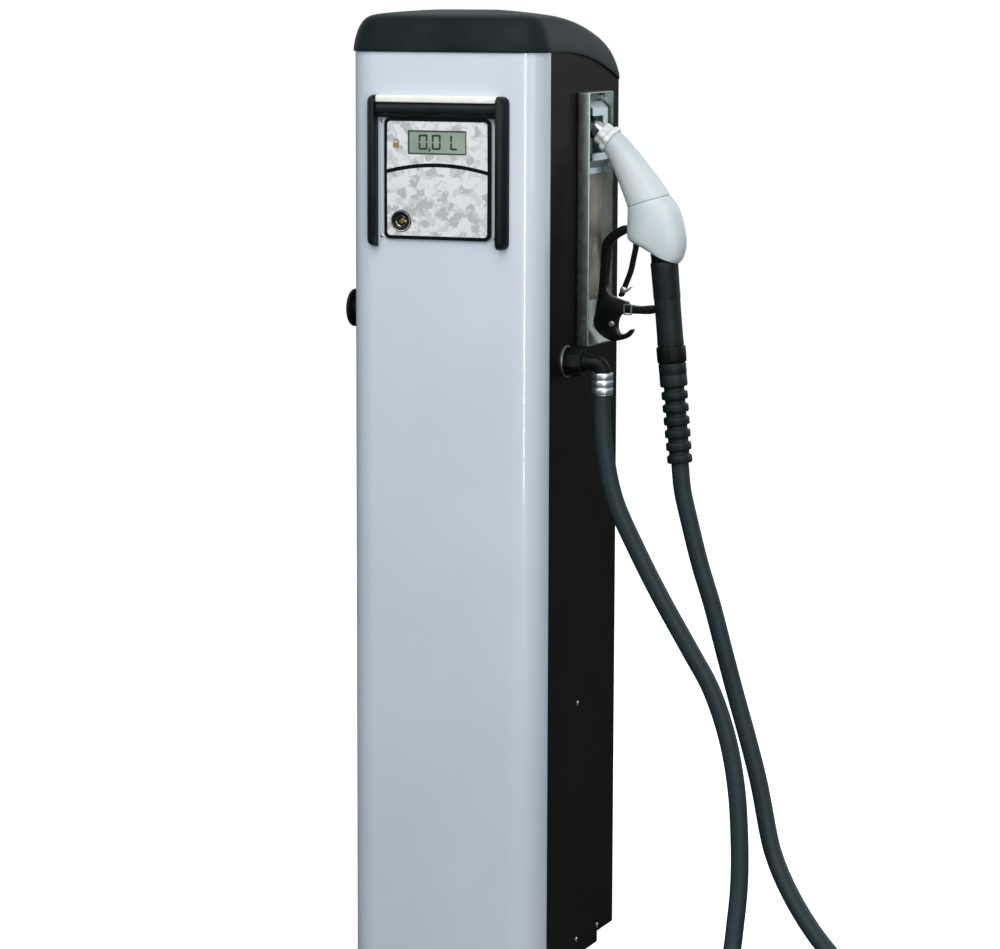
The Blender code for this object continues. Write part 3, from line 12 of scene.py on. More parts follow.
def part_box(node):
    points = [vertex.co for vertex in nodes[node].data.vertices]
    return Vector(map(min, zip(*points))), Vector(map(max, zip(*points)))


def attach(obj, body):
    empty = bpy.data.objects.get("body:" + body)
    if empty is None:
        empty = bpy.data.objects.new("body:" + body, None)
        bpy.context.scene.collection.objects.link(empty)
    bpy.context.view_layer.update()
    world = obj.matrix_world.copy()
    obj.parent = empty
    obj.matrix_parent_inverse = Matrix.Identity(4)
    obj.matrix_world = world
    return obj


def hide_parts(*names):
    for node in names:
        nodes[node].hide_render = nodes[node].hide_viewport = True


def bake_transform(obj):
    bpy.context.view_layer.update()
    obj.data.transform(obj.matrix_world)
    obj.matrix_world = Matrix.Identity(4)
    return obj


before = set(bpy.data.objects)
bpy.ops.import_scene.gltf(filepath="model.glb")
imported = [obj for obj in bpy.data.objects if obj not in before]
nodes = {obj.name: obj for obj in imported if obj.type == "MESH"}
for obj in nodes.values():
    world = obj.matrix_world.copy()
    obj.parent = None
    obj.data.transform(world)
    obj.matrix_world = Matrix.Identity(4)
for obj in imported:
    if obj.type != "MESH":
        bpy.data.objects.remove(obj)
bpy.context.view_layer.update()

# ------------------------------------------------------------------ studio
# A pale seamless floor and soft light from large diffusers, with one tall narrow strip on the holster side
# that draws the bright line down the column's rounded corner.


def linear(hex_colour):
    """An sRGB hex colour as linear red, green, blue and alpha."""
    parts = [int(hex_colour[k:k + 2], 16) / 255 for k in (1, 3, 5)]
    return (*[c / 12.92 if c <= 0.04045 else ((c + 0.055) / 1.055) ** 2.4 for c in parts], 1.0)


def add(tree, kind, inputs=None, **settings):
    """A node in a tree. Inputs are values, or sockets of other nodes to link from."""
    made = tree.nodes.new(kind)
    for name, value in settings.items():
        setattr(made, name, value)
    for name, value in (inputs or {}).items():
        if isinstance(value, bpy.types.NodeSocket):
            tree.links.new(value, made.inputs[name])
        else:
            made.inputs[name].default_value = value
    return made


scene = bpy.context.scene
scene.view_settings.view_transform = "Standard"
scene.world = bpy.data.worlds.new("studio")
scene.world.use_nodes = True
sky = scene.world.node_tree
sky.nodes.clear()
sky_path = add(sky, "ShaderNodeLightPath")
seen = add(sky, "ShaderNodeMath", {0: sky_path.outputs["Is Camera Ray"],
                                   1: sky_path.outputs["Is Transmission Ray"]}, operation="MAXIMUM")
ambient = add(sky, "ShaderNodeBackground", {"Color": linear("#E4EBF2"), "Strength": 0.38})
glossy_sky = add(sky, "ShaderNodeBackground", {"Color": linear("#F0F5F8"), "Strength": 0.80})
white_sky = add(sky, "ShaderNodeBackground", {"Color": (1, 1, 1, 1), "Strength": 1.0})
mirrored = add(sky, "ShaderNodeMixShader", {
    0: sky_path.outputs["Is Glossy Ray"], 1: ambient.outputs[0], 2: glossy_sky.outputs[0]})
shown = add(sky, "ShaderNodeMixShader", {0: seen.outputs[0], 1: mirrored.outputs[0], 2: white_sky.outputs[0]})
add(sky, "ShaderNodeOutputWorld", {"Surface": shown.outputs[0]})

floor_finish = bpy.data.materials.new("matt_white_floor")
floor_finish.use_nodes = True
floor_tree = floor_finish.node_tree
floor_tree.nodes.clear()
floor_path = add(floor_tree, "ShaderNodeLightPath")
matt = add(floor_tree, "ShaderNodeBsdfDiffuse", {"Color": linear("#707274"), "Roughness": 0.5})
lit = add(floor_tree, "ShaderNodeBsdfDiffuse", {"Color": (1, 1, 1, 1), "Roughness": 0.5})
lift = add(floor_tree, "ShaderNodeEmission", {"Color": (1, 1, 1, 1), "Strength": 0.70})
lifted = add(floor_tree, "ShaderNodeAddShader", {0: lit.outputs[0], 1: lift.outputs[0]})
floor_mix = add(floor_tree, "ShaderNodeMixShader", {0: floor_path.outputs["Is Camera Ray"], 1: matt.outputs[0],
                                                    2: lifted.outputs[0]})
add(floor_tree, "ShaderNodeOutputMaterial", {"Surface": floor_mix.outputs[0]})
bpy.ops.mesh.primitive_plane_add(size=160, location=(0, 0, -0.0005))
floor = bpy.context.object
floor.name = "studio_floor"
floor.data.materials.append(floor_finish)


def softbox(name, place, target, size, power, colour="#FFFFFF"):
    lamp = bpy.data.lights.new(name, "AREA")
    lamp.shape = "RECTANGLE"
    lamp.size, lamp.size_y = size
    lamp.energy = power
    lamp.color = linear(colour)[:3]
    stand = bpy.data.objects.new(name, lamp)
    scene.collection.objects.link(stand)
    stand.location = place
    stand.rotation_mode = "QUATERNION"
    stand.rotation_quaternion = (Vector(target) - Vector(place)).to_track_quat("-Z", "Y")
    return stand


softbox("overhead_box", (0.2, -2.0, 3.6), (0, 0, 1.0), (2.4, 2.0), 64, "#FFFCF8")
softbox("front_box", (-1.2, -4.1, 2.8), (0, 0, 1.0), (2.2, 2.2), 50, "#F6FAFF")
softbox("corner_strip", (1.80, -2.45, 1.45), (0.1, -0.1, 0.95), (0.12, 2.4), 30)
softbox("side_box", (3.3, -1.7, 1.9), (0.1, -0.1, 0.9), (1.2, 2.0), 18, "#F6FAFF")
softbox("rear_box", (1.9, 2.4, 2.2), (0.1, 0.1, 0.8), (1.2, 2.0), 22)

yaw, pitch, roll = (math.radians(a) for a in (22.33, 7.91, 0.19))
backwards = Vector((math.sin(yaw) * math.cos(pitch), -math.cos(yaw) * math.cos(pitch), math.sin(pitch)))
level = Vector((math.cos(yaw), math.sin(yaw), 0.0))
upright = backwards.cross(level)
camera_x = math.cos(roll) * level + math.sin(roll) * upright
camera_y = backwards.cross(camera_x)
camera = bpy.data.objects.new("camera", bpy.data.cameras.new("camera"))
scene.collection.objects.link(camera)
camera.data.lens = 127.1
camera.data.sensor_width = 36.0
camera.data.clip_end = 400
facing = Matrix((camera_x, camera_y, backwards)).transposed().to_4x4()
camera.matrix_world = Matrix.Translation((1.9969, -4.7968, 1.4445)) @ facing
scene.camera = camera

# ------------------------------------------------------------------ base pan, corner posts and top frame
# Folded 2 mm steel, zinc plated before assembly. The plating gives a dull grey metal with a faint cloudy
# spangle. The posts are screwed to the pan and carry the panels.


def material(name, colour, roughness, metallic=0.0, **sockets):
    """A Principled material; sockets with underscores for spaces are set on the shader itself."""
    made = bpy.data.materials.new(name)
    made.use_nodes = True
    shader = made.node_tree.nodes["Principled BSDF"]
    shader.inputs["Base Color"].default_value = linear(colour)
    shader.inputs["Roughness"].default_value = roughness
    shader.inputs["Metallic"].default_value = metallic
    for key, value in sockets.items():
        shader.inputs[key.replace("_", " ")].default_value = value
    return made, made.node_tree, shader


def place_on(tree):
    """Metres in the object's own frame."""
    return add(tree, "ShaderNodeTexCoord").outputs["Object"]


def ramped(tree, factor, dark, light, low=0.0, high=1.0):
    """A colour between two hex colours, as a factor goes from low to high."""
    ramp = add(tree, "ShaderNodeValToRGB", {"Fac": factor})
    for stop, place, colour in zip(ramp.color_ramp.elements, (low, high), (dark, light)):
        stop.position, stop.color = place, linear(colour)
    return ramp.outputs["Color"]


def cloudy(tree, dark, light, scale, detail=3.0, low=0.35, high=0.65):
    """A colour that drifts between two hex colours over patches of 1/scale metres."""
    noise = add(tree, "ShaderNodeTexNoise", {"Vector": place_on(tree), "Scale": scale, "Detail": detail})
    return ramped(tree, noise.outputs["Fac"], dark, light, low, high), noise.outputs["Fac"]


def bumped(tree, shader, height, strength, distance):
    bump = add(tree, "ShaderNodeBump", {"Height": height, "Strength": strength, "Distance": distance})
    tree.links.new(bump.outputs["Normal"], shader.inputs["Normal"])
    return bump


def grained(tree, shader, scale, strength, distance, detail=2.0):
    """Fine relief, its grains 1/scale metres across."""
    noise = add(tree, "ShaderNodeTexNoise", {"Vector": place_on(tree), "Scale": scale, "Detail": detail})
    bumped(tree, shader, noise.outputs["Fac"], strength, distance)


def ranged(tree, factor, low, high):
    return add(tree, "ShaderNodeMapRange", {"Value": factor, "To Min": low, "To Max": high}).outputs["Result"]


def clouded(name, colour, dark, light, scale, roughness, metallic=0.0, *, drift=(), rough=None, grain=None,
            dents=None, **sockets):
    """A material whose colour drifts from dark to light, with an optional range of roughness and relief."""
    made, tree, shader = material(name, colour, roughness, metallic, **sockets)
    mottle, patches = cloudy(tree, dark, light, scale, *drift)
    tree.links.new(mottle, shader.inputs["Base Color"])
    if rough:
        tree.links.new(ranged(tree, patches, *rough), shader.inputs["Roughness"])
    if grain:
        grained(tree, shader, *grain)
    if dents:
        bumped(tree, shader, patches, *dents)
    return made


# Zinc plating: dull grey, its cloudy spangle about 17 mm across, rougher where it is paler.
zinc = clouded("zinc_plated_steel", "#9A9C9C", "#84878A", "#A9ABA9", 60.0, 0.42, 1.0, rough=(0.34, 0.52),
               grain=(900.0, 0.15, 0.0002))


def paint(finish, *names):
    """New finish for CAD nodes whose shape stays."""
    for name in names:
        nodes[name].data.materials.clear()
        nodes[name].data.materials.append(finish)


paint(zinc, "base_pan", "front_post_left", "front_post_right", "rear_post_left", "rear_post_right", "top_frame",
      "pump_shelf", "suction_pipe", "delivery_pipe", "outlet_pipe")

# ------------------------------------------------------------------ side and rear panels
# 2 mm steel with black polyester powder coat: a satin black with a very fine, even orange peel that only
# shows where light grazes it.
black_powder = clouded("black_polyester_powder_coat", "#0F110B", "#0D0F0A", "#12140E", 9.0, 0.42,
                       Specular_IOR_Level=0.04, grain=(700.0, 0.18, 0.0002), rough=(0.38, 0.48))
paint(black_powder, "side_panel_right", "side_panel_left", "rear_panel")


def piece(name, bm, finish, body, replaced=(), angle=35.0):
    """A finished piece from a bmesh: smooth shaded, painted, riding on its body and standing for its CAD nodes."""
    mesh = bpy.data.meshes.new(name)
    bm.to_mesh(mesh)
    bm.free()
    mesh.shade_smooth()
    mesh.set_sharp_from_angle(angle=math.radians(angle))
    made = bpy.data.objects.new(name, mesh)
    scene.collection.objects.link(made)
    mesh.materials.append(finish)
    if body:
        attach(made, body)
    if replaced:
        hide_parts(*replaced)
    return made


def grower(name, sizes, finishes):
    """An empty Geometry Nodes tree with named sizes, a turn and finishes, and the outputs of its input node."""
    tree = bpy.data.node_groups.new(name, "GeometryNodeTree")
    face = tree.interface
    face.new_socket("Geometry", in_out="INPUT", socket_type="NodeSocketGeometry")
    for label, value in sizes.items():
        face.new_socket(label, in_out="INPUT", socket_type="NodeSocketFloat").default_value = value
    face.new_socket("Turn", in_out="INPUT", socket_type="NodeSocketVector")
    for label in finishes:
        face.new_socket(label, in_out="INPUT", socket_type="NodeSocketMaterial")
    face.new_socket("Geometry", in_out="OUTPUT", socket_type="NodeSocketGeometry")
    return tree, add(tree, "NodeGroupInput").outputs


def times(tree, value, factor):
    return add(tree, "ShaderNodeMath", {0: value, 1: factor}, operation="MULTIPLY").outputs[0]


def raised(tree, geometry, height):
    """Geometry moved up by a height."""
    place = add(tree, "ShaderNodeCombineXYZ", {"Z": height})
    return add(tree, "GeometryNodeTransform", {"Geometry": geometry, "Translation": place.outputs[0]}).outputs[0]


def united(tree, *parts):
    """Several geometries as one, in the order given."""
    whole = add(tree, "GeometryNodeJoinGeometry")
    for part in parts:
        tree.links.new(part, whole.inputs[0])
    return whole.outputs[0]


def fastener_tree():
    """Button-head screws, each with a flat dark hexagon of painted shade for its recess, one at each point of the
    mesh it is put on.
    """
    tree, given = grower("button_head_screws", {"Head Radius": 0.0038, "Head Height": 0.0018,
                                                "Recess Radius": 0.0015}, ("Finish", "Recess Painted Shade"))
    radius, height = given["Head Radius"], given["Head Height"]
    rim, skirt_height, dome_height = times(tree, radius, 0.62), times(tree, height, 0.45), times(tree, height, 0.55)
    skirt = add(tree, "GeometryNodeMeshCylinder", {"Vertices": 24, "Radius": radius, "Depth": skirt_height})
    dome = add(tree, "GeometryNodeMeshCone",
               {"Vertices": 24, "Radius Top": rim, "Radius Bottom": radius, "Depth": dome_height})
    recess = add(tree, "GeometryNodeMeshCylinder", {"Vertices": 6, "Radius": given["Recess Radius"],
                                                    "Depth": 0.0002})
    head = united(tree, raised(tree, skirt.outputs["Mesh"], times(tree, skirt_height, 0.5)),
                  raised(tree, dome.outputs["Mesh"], skirt_height))
    painted = add(tree, "GeometryNodeSetMaterial", {"Geometry": head, "Material": given["Finish"]})
    shaded = add(tree, "GeometryNodeSetMaterial", {"Geometry": raised(tree, recess.outputs["Mesh"], height),
                                                   "Material": given["Recess Painted Shade"]})
    screw = united(tree, painted.outputs[0], shaded.outputs[0])
    spread = add(tree, "GeometryNodeInstanceOnPoints", {
        "Points": given["Geometry"], "Instance": screw, "Rotation": given["Turn"]})
    solid = add(tree, "GeometryNodeRealizeInstances", {"Geometry": spread.outputs[0]})
    add(tree, "NodeGroupOutput", {0: solid.outputs[0]})
    return tree


def grown(name, points, tree, values, body):
    """The mesh that a Geometry Nodes tree grows on some points, as a plain piece."""
    seed = bpy.data.meshes.new(name)
    seed.from_pydata([tuple(p) for p in points], [], [])
    stand = bpy.data.objects.new(name, seed)
    scene.collection.objects.link(stand)
    nodes_modifier = stand.modifiers.new("grown", "NODES")
    nodes_modifier.node_group = tree
    for item in tree.interface.items_tree:
        if item.in_out == "INPUT" and item.name in values:
            nodes_modifier[item.identifier] = values[item.name]
    bpy.context.view_layer.update()
    mesh = bpy.data.meshes.new_from_object(stand.evaluated_get(bpy.context.evaluated_depsgraph_get()))
    bpy.data.objects.remove(stand)
    mesh.name = name
    mesh.shade_smooth()
    mesh.set_sharp_from_angle(angle=math.radians(35))
    made = bpy.data.objects.new(name, mesh)
    scene.collection.objects.link(made)
    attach(made, body)
    return made


# Turned stainless screw heads, brighter and duller in patches of 3 mm.
stainless = clouded("a2_stainless_steel", "#B9BABA", "#A3A5A6", "#C9CAC9", 300.0, 0.28, 1.0, rough=(0.22, 0.36))
# Painted shade: near-black standing for the unlit inside of a hexagon socket, drawn as a flat disc on the head.
recess_black = clouded("shadowed_socket", "#101112", "#0B0C0C", "#17191A", 500.0, 0.8)
screws = fastener_tree()
quarter = math.pi / 2
SIDE_X = 0.150
side_rows = [(0.004, 0.3875), (0.0045, 0.027), (0.092, 0.0275)]
heads = {"Head Radius": 0.0040, "Head Height": 0.0020, "Recess Radius": 0.0015, "Finish": stainless,
         "Recess Painted Shade": recess_black}
grown("side_screws_right", [(SIDE_X, y, z) for y, z in side_rows], screws, {**heads, "Turn": (0, quarter, 0)},
      "root")
grown("side_screws_left", [(-SIDE_X, y, z) for y, z in side_rows], screws, {**heads, "Turn": (0, -quarter, 0)},
      "root")
grown("rear_screws", [(x, 0.160, z) for x in (-0.136, 0.136) for z in (0.05, 0.45, 0.85, 1.26)], screws,
      {**heads, "Turn": (-quarter, 0, 0)}, "root")

# ------------------------------------------------------------------ front panel
# One white steel sheet rolled round both front corners, powder coated semi-gloss. The coat has a shallow
# orange peel some 3 mm across, and the colour cools a little in its thicker places.


def spun(flat, plane, low, high, rounding=0.0, holes=(), segments=2):
    """A flat outline with holes, thickened from low to high along the plane's normal, its rims rounded."""
    curve = bpy.data.curves.new("outline", "CURVE")
    curve.dimensions = "2D"
    curve.fill_mode = "BOTH"
    for loop in (flat, *holes):
        spline = curve.splines.new("POLY")
        spline.points.add(len(loop) - 1)
        for point, (u, v) in zip(spline.points, loop):
            point.co = (u, v, 0.0, 1.0)
        spline.use_cyclic_u = True
    curve.extrude = (high - low) / 2
    stand = bpy.data.objects.new("outline", curve)
    scene.collection.objects.link(stand)
    bpy.context.view_layer.update()
    mesh = bpy.data.meshes.new_from_object(stand.evaluated_get(bpy.context.evaluated_depsgraph_get()))
    bpy.data.objects.remove(stand)
    bm = bmesh.new()
    bm.from_mesh(mesh)
    bmesh.ops.remove_doubles(bm, verts=bm.verts, dist=0.000001)
    bmesh.ops.dissolve_limit(bm, angle_limit=0.001, verts=bm.verts, edges=bm.edges)
    middle = (low + high) / 2
    turn = {"XY": Matrix.Identity(4), "YZ": Matrix(((0, 0, 1, 0), (1, 0, 0, 0), (0, 1, 0, 0), (0, 0, 0, 1))),
            "XZ": Matrix(((1, 0, 0, 0), (0, 0, -1, 0), (0, 1, 0, 0), (0, 0, 0, 1)))}[plane]
    lift = {"XY": (0, 0, middle), "YZ": (middle, 0, 0), "XZ": (0, middle, 0)}[plane]
    bm.transform(Matrix.Translation(lift) @ turn)
    bmesh.ops.recalc_face_normals(bm, faces=bm.faces)
    return rounded(bm, rounding, segments)


def rounded(bm, width, segments=2, least=40):
    """Rounds every edge that turns more than the least angle."""
    if width:
        edges = [e for e in bm.edges if e.is_manifold and e.calc_face_angle(0) > math.radians(least)]
        bmesh.ops.bevel(bm, geom=edges, offset=width, offset_type="OFFSET", segments=segments, profile=0.5,
                        affect="EDGES", clamp_overlap=True)
    return bm


def boxed(low, high, rounding=0.0, segments=2):
    low, high = Vector(low), Vector(high)
    bm = bmesh.new()
    bmesh.ops.create_cube(bm, size=1.0, matrix=Matrix.Translation((low + high) / 2) @
                          Matrix.Diagonal((*(high - low), 1)))
    return rounded(bm, rounding, segments)


def carved(bm, *cutters):
    """A bmesh with other closed ones cut out of it."""
    stand = [bpy.data.objects.new("carved", bpy.data.meshes.new("carved")) for _ in range(len(cutters) + 1)]
    for holder, shape in zip(stand, (bm, *cutters)):
        shape.to_mesh(holder.data)
        shape.free()
        scene.collection.objects.link(holder)
    for cutter in stand[1:]:
        cutting = stand[0].modifiers.new("cut", "BOOLEAN")
        cutting.object, cutting.operation, cutting.solver = cutter, "DIFFERENCE", "EXACT"
    bpy.context.view_layer.update()
    mesh = bpy.data.meshes.new_from_object(stand[0].evaluated_get(bpy.context.evaluated_depsgraph_get()))
    for holder in stand:
        bpy.data.objects.remove(holder)
    made = bmesh.new()
    made.from_mesh(mesh)
    return made


def corner_arc(cx, cy, radius, start, sweep=90, steps=24):
    return [(cx + radius * math.cos(math.radians(start + sweep * k / steps)),
             cy + radius * math.sin(math.radians(start + sweep * k / steps))) for k in range(steps + 1)]


def round_rect(low_u, low_v, high_u, high_v, radius, steps=10):
    return [*corner_arc(low_u + radius, low_v + radius, radius, 180, 90, steps),
            *corner_arc(high_u - radius, low_v + radius, radius, 270, 90, steps),
            *corner_arc(high_u - radius, high_v - radius, radius, 0, 90, steps),
            *corner_arc(low_u + radius, high_v - radius, radius, 90, 90, steps)]


# Cool white coat under a thin clear gloss, so the corner draws a sharp line of light over a 3 mm peel.
white_powder = clouded("white_polyester_powder_coat", "#C5CFD8", "#C1CBD5", "#C9D2DB", 5.0, 0.30, Coat_Weight=0.5,
                       Coat_Roughness=0.05, drift=(2.0, 0.25, 0.75), grain=(330.0, 0.06, 0.0003, 1.0))
corner_x, corner_y, corner_r, sheet = 0.105, -0.115, 0.045, 0.002
outer = [(-SIDE_X, corner_y - 0.0003), *corner_arc(-corner_x, corner_y, corner_r, 180)[1:],
         *corner_arc(corner_x, corner_y, corner_r, 270)[:-1], (SIDE_X, corner_y - 0.0003)]
inner = [(SIDE_X - sheet, corner_y - 0.0003), *reversed(corner_arc(corner_x, corner_y, corner_r - sheet, 270)[:-1]),
         *reversed(corner_arc(-corner_x, corner_y, corner_r - sheet, 180)[1:]), (sheet - SIDE_X, corner_y - 0.0003)]
low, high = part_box("front_panel")
display_hole = boxed((-0.083, -0.17, 1.0875), (0.074, -0.15, 1.2488))
front = carved(spun([*outer, *inner], "XY", low.z, high.z, 0.0), display_hole)
piece("front_panel_skin", front, white_powder, "root", ("front_panel",), 30)

# ------------------------------------------------------------------ lid
# Injection-moulded black ABS with a fine spark-eroded grain. It sits over the panels' upper edge and falls to
# the rear. Its shine drifts a little over patches of 80 mm.
SHOULDER_Z, CROWN_R, CROWN_Y = 1.3484, 0.68, -0.08


def edge_z(y):
    """Height of the panels' upper edge: level in front, then falling to the rear along a large arc."""
    return SHOULDER_Z - CROWN_R + math.sqrt(CROWN_R ** 2 - max(0.0, y - CROWN_Y) ** 2)


def joined(bm, first, second):
    """A closed band of faces between two rings of as many points."""
    for k in range(len(first)):
        following = (k + 1) % len(first)
        bm.faces.new((first[k], first[following], second[following], second[k]))


def lid_ring(bm, inset, rise):
    half, front_y, rear_y = 0.1528 - inset, -0.1628 + inset, 0.1628 - inset
    front_r, rear_r = max(0.0478 - inset, 0.003), min(0.009 + 1.2 * inset, half * 0.96, 0.028)
    outline = []
    corners = ((-half, front_y, 1, 1, 180, front_r), (half, front_y, -1, 1, 270, front_r),
               (half, rear_y, -1, -1, 0, rear_r), (-half, rear_y, 1, -1, 90, rear_r))
    arcs = [corner_arc(x + sx * r, y + sy * r, r, start, 90, 14) for x, y, sx, sy, start, r in corners]
    for k, arc in enumerate(arcs):
        outline += arc
        (x0, y0), (x1, y1) = arc[-1], arcs[(k + 1) % 4][0]
        cuts = 28 if k % 2 else 12
        outline += [(x0 + (x1 - x0) * n / cuts, y0 + (y1 - y0) * n / cuts) for n in range(1, cuts)]
    return [bm.verts.new((x, y, edge_z(y) + rise)) for x, y in outline]


def between(a, b, c, d, t):
    """The place at a share t of the way from b to c on a smooth curve through a, b, c and d."""
    return 0.5 * (2 * b + (c - a) * t + (2 * a - 5 * b + 4 * c - d) * t ** 2 + (3 * b - a - 3 * c + d) * t ** 3)


def smooth_path(points, spacing):
    """Points a spacing apart along a smooth curve through the given ones."""
    points = [Vector(p) for p in points]
    padded = [2 * points[0] - points[1], *points, 2 * points[-1] - points[-2]]
    path = [points[0]]
    for a, b, c, d in zip(padded, padded[1:], padded[2:], padded[3:]):
        count = max(1, round((c - b).length / spacing))
        path += [between(a, b, c, d, step / count) for step in range(1, count + 1)]
    return path


levels = smooth_path([(i, 0, h) for i, h in (
    (0.0, 0.0), (0.0, 0.004), (0.0008, 0.010), (0.0035, 0.022), (0.009, 0.036), (0.018, 0.047), (0.030, 0.0520),
    (0.050, 0.0549), (0.070, 0.0570), (0.095, 0.0591), (0.120, 0.0605), (0.145, 0.0610))], 0.0022)
bm = bmesh.new()
skins = []
for wall in (0.0, 0.0030):
    rows = [lid_ring(bm, p.x + wall if p.x + wall < 0.1495 else 0.1495, max(p.z - wall, min(p.z, 0.003)))
            for p in levels]
    for first, second in zip(rows, rows[1:]):
        joined(bm, first, second)
    bm.faces.new(rows[-1])
    skins.append(rows[0])
joined(bm, skins[1], skins[0])
bmesh.ops.recalc_face_normals(bm, faces=bm.faces)
# Blue-black moulding with a spark-eroded grain of 1 mm.
black_abs = clouded("spark_eroded_black_abs", "#172022", "#131B1D", "#1B2527", 12.0, 0.34, Specular_IOR_Level=0.05,
                    grain=(1100.0, 0.35, 0.0003), rough=(0.36, 0.48))
piece("lid_shell", bm, black_abs, "root", ("lid",), 50)

# ------------------------------------------------------------------ display unit
# A black moulded frame of two side bars and a grey cross bar with an opal lamp strip, round a plate with a
# printed film, a reflective LCD and the key reader. Film and plate are screen printed, the film mottled grey.
DISPLAY_X = -0.0045
FACE_Y = -0.1603
BAR_IN = 0.0935


def lofted(rings, capped=True):
    bm = bmesh.new()
    rows = [[bm.verts.new(p) for p in ring] for ring in rings]
    for first, second in zip(rows, rows[1:]):
        joined(bm, first, second)
    if capped:
        bm.faces.new(list(reversed(rows[0])))
        bm.faces.new(rows[-1])
    bmesh.ops.recalc_face_normals(bm, faces=bm.faces)
    return bm


def turned(profile, base, axis, steps=48, ring=False, lobes=0, depth=0.0):
    """A turned shape from (radius, height) points, heights along the axis, with optional lobes round its rim."""
    bm = bmesh.new()
    rows = []
    outermost = max(r for r, _ in profile)
    for n in range(steps):
        turn = 2 * math.pi * n / steps
        swell = 1 + depth * math.cos(lobes * turn) if lobes else 1.0
        row = []
        for r, h in profile:
            size = r * swell if r > 0.8 * outermost else r
            row.append(bm.verts.new((size * math.cos(turn), size * math.sin(turn), h)))
        rows.append(row)
    count = len(profile)
    for n in range(steps):
        first, second = rows[n], rows[(n + 1) % steps]
        for k in range(count if ring else count - 1):
            following = (k + 1) % count
            bm.faces.new((first[k], first[following], second[following], second[k]))
    bmesh.ops.remove_doubles(bm, verts=bm.verts, dist=0.0000005)
    bmesh.ops.recalc_face_normals(bm, faces=bm.faces)
    upright_to_axis = Vector((0, 0, 1)).rotation_difference(Vector(axis)).to_matrix().to_4x4()
    bm.transform(Matrix.Translation(base) @ upright_to_axis)
    return bm


# Satin black moulding, the grain under a millimetre.
frame_abs = clouded("satin_black_abs_moulding", "#0E1314", "#0B1011", "#121718", 25.0, 0.36,
                    Specular_IOR_Level=0.16, grain=(1500.0, 0.16, 0.0002))
bar = [(0.0, 0.0), (0.0, 0.0150), (0.0006, 0.0166), (0.0018, 0.0175), (0.0040, 0.0175), (0.0062, 0.0170),
       (0.0090, 0.0153), (0.0118, 0.0121), (0.0140, 0.0083), (0.0155, 0.0043), (0.0162, 0.0008), (0.0162, 0.0)]
end_round = [(0.0, 0.30, 0.42), (0.0006, 0.50, 0.60), (0.0018, 0.68, 0.74), (0.0036, 0.82, 0.87),
             (0.0060, 0.93, 0.96), (0.0100, 1.0, 1.0)]
stations = [*[(1.0700 + d, share, wide) for d, share, wide in end_round],
            *[(1.2870 - d, share, wide) for d, share, wide in reversed(end_round)]]
for side, label in ((1, "right"), (-1, "left")):
    rings = [[(DISPLAY_X + side * (BAR_IN + u * wide), FACE_Y - d * share, z) for u, d in bar]
             for z, share, wide in stations]
    piece(f"display_bar_{label}", lofted(rings), frame_abs, "root", ("display_frame",), 40)
# Charcoal extrusion with faint drawing marks 1.2 mm apart.
grey_band = clouded("grey_extruded_abs_band", "#1B2222", "#181F1F", "#1F2727", 30.0, 0.38, Specular_IOR_Level=0.10,
                    grain=(800.0, 0.10, 0.0002))
half = 0.0932
band = [(FACE_Y, 1.2605), (FACE_Y, 1.2765),
        *[(FACE_Y - 0.0035 - 0.0070 * math.sin(math.radians(a)), 1.2685 + 0.0080 * math.cos(math.radians(a)))
          for a in range(0, 181, 12)]]
piece("display_band", spun(band, "YZ", DISPLAY_X - half, DISPLAY_X + half), grey_band, "root", (),
      50)
lip = [(FACE_Y, 1.2554), (FACE_Y, 1.2600), (FACE_Y - 0.0062, 1.2600), (FACE_Y - 0.0076, 1.2590),
       (FACE_Y - 0.0076, 1.2564), (FACE_Y - 0.0066, 1.2554)]
piece("display_lip", spun(lip, "YZ", DISPLAY_X - half, DISPLAY_X + half), frame_abs, "root", (),
      50)

# Opal plastic over the lamps, milky and a little translucent.
opal = clouded("opal_polycarbonate", "#E3E6DF", "#DDE0D8", "#E9EBE6", 40.0, 0.34, Subsurface_Weight=0.3,
               Subsurface_Scale=0.004)
strip = [(FACE_Y, 1.2769), (FACE_Y - 0.0085, 1.2769), *corner_arc(FACE_Y - 0.0080, 1.2790, 0.0026, 230, -50, 6),
         *corner_arc(FACE_Y - 0.0070, 1.2834, 0.0036, 180, -90, 8), (FACE_Y, 1.2870)]
piece("opal_strip", spun(strip, "YZ", DISPLAY_X - half, DISPLAY_X + half), opal, "root", ("lamp_strip",),
      50)

# Smooth black ink round the film.
gloss_black = clouded("black_printed_border", "#080A0B", "#080A0B", "#0E1213", 60.0, 0.32, Specular_IOR_Level=0.08)


def ellipse(cx, cy, rx, ry, steps=36):
    return [(cx + rx * math.cos(2 * math.pi * k / steps), cy + ry * math.sin(2 * math.pi * k / steps))
            for k in range(steps)]


plate_half, film_half = 0.0825, 0.0725
plate_out = round_rect(DISPLAY_X - plate_half, 1.0817, DISPLAY_X + plate_half, 1.2551, 0.009)
window = round_rect(DISPLAY_X - 0.0440, 1.2047, DISPLAY_X + 0.0440, 1.2359, 0.0010, 4)
key_x, key_z = DISPLAY_X - 0.056, 1.1072
plate_bm = spun(plate_out, "XZ", FACE_Y - 0.0040, FACE_Y, 0.0, (window, ellipse(key_x, key_z, 0.0125, 0.0125)))
piece("display_border", plate_bm, gloss_black, "root", ("display_plate",), 30)

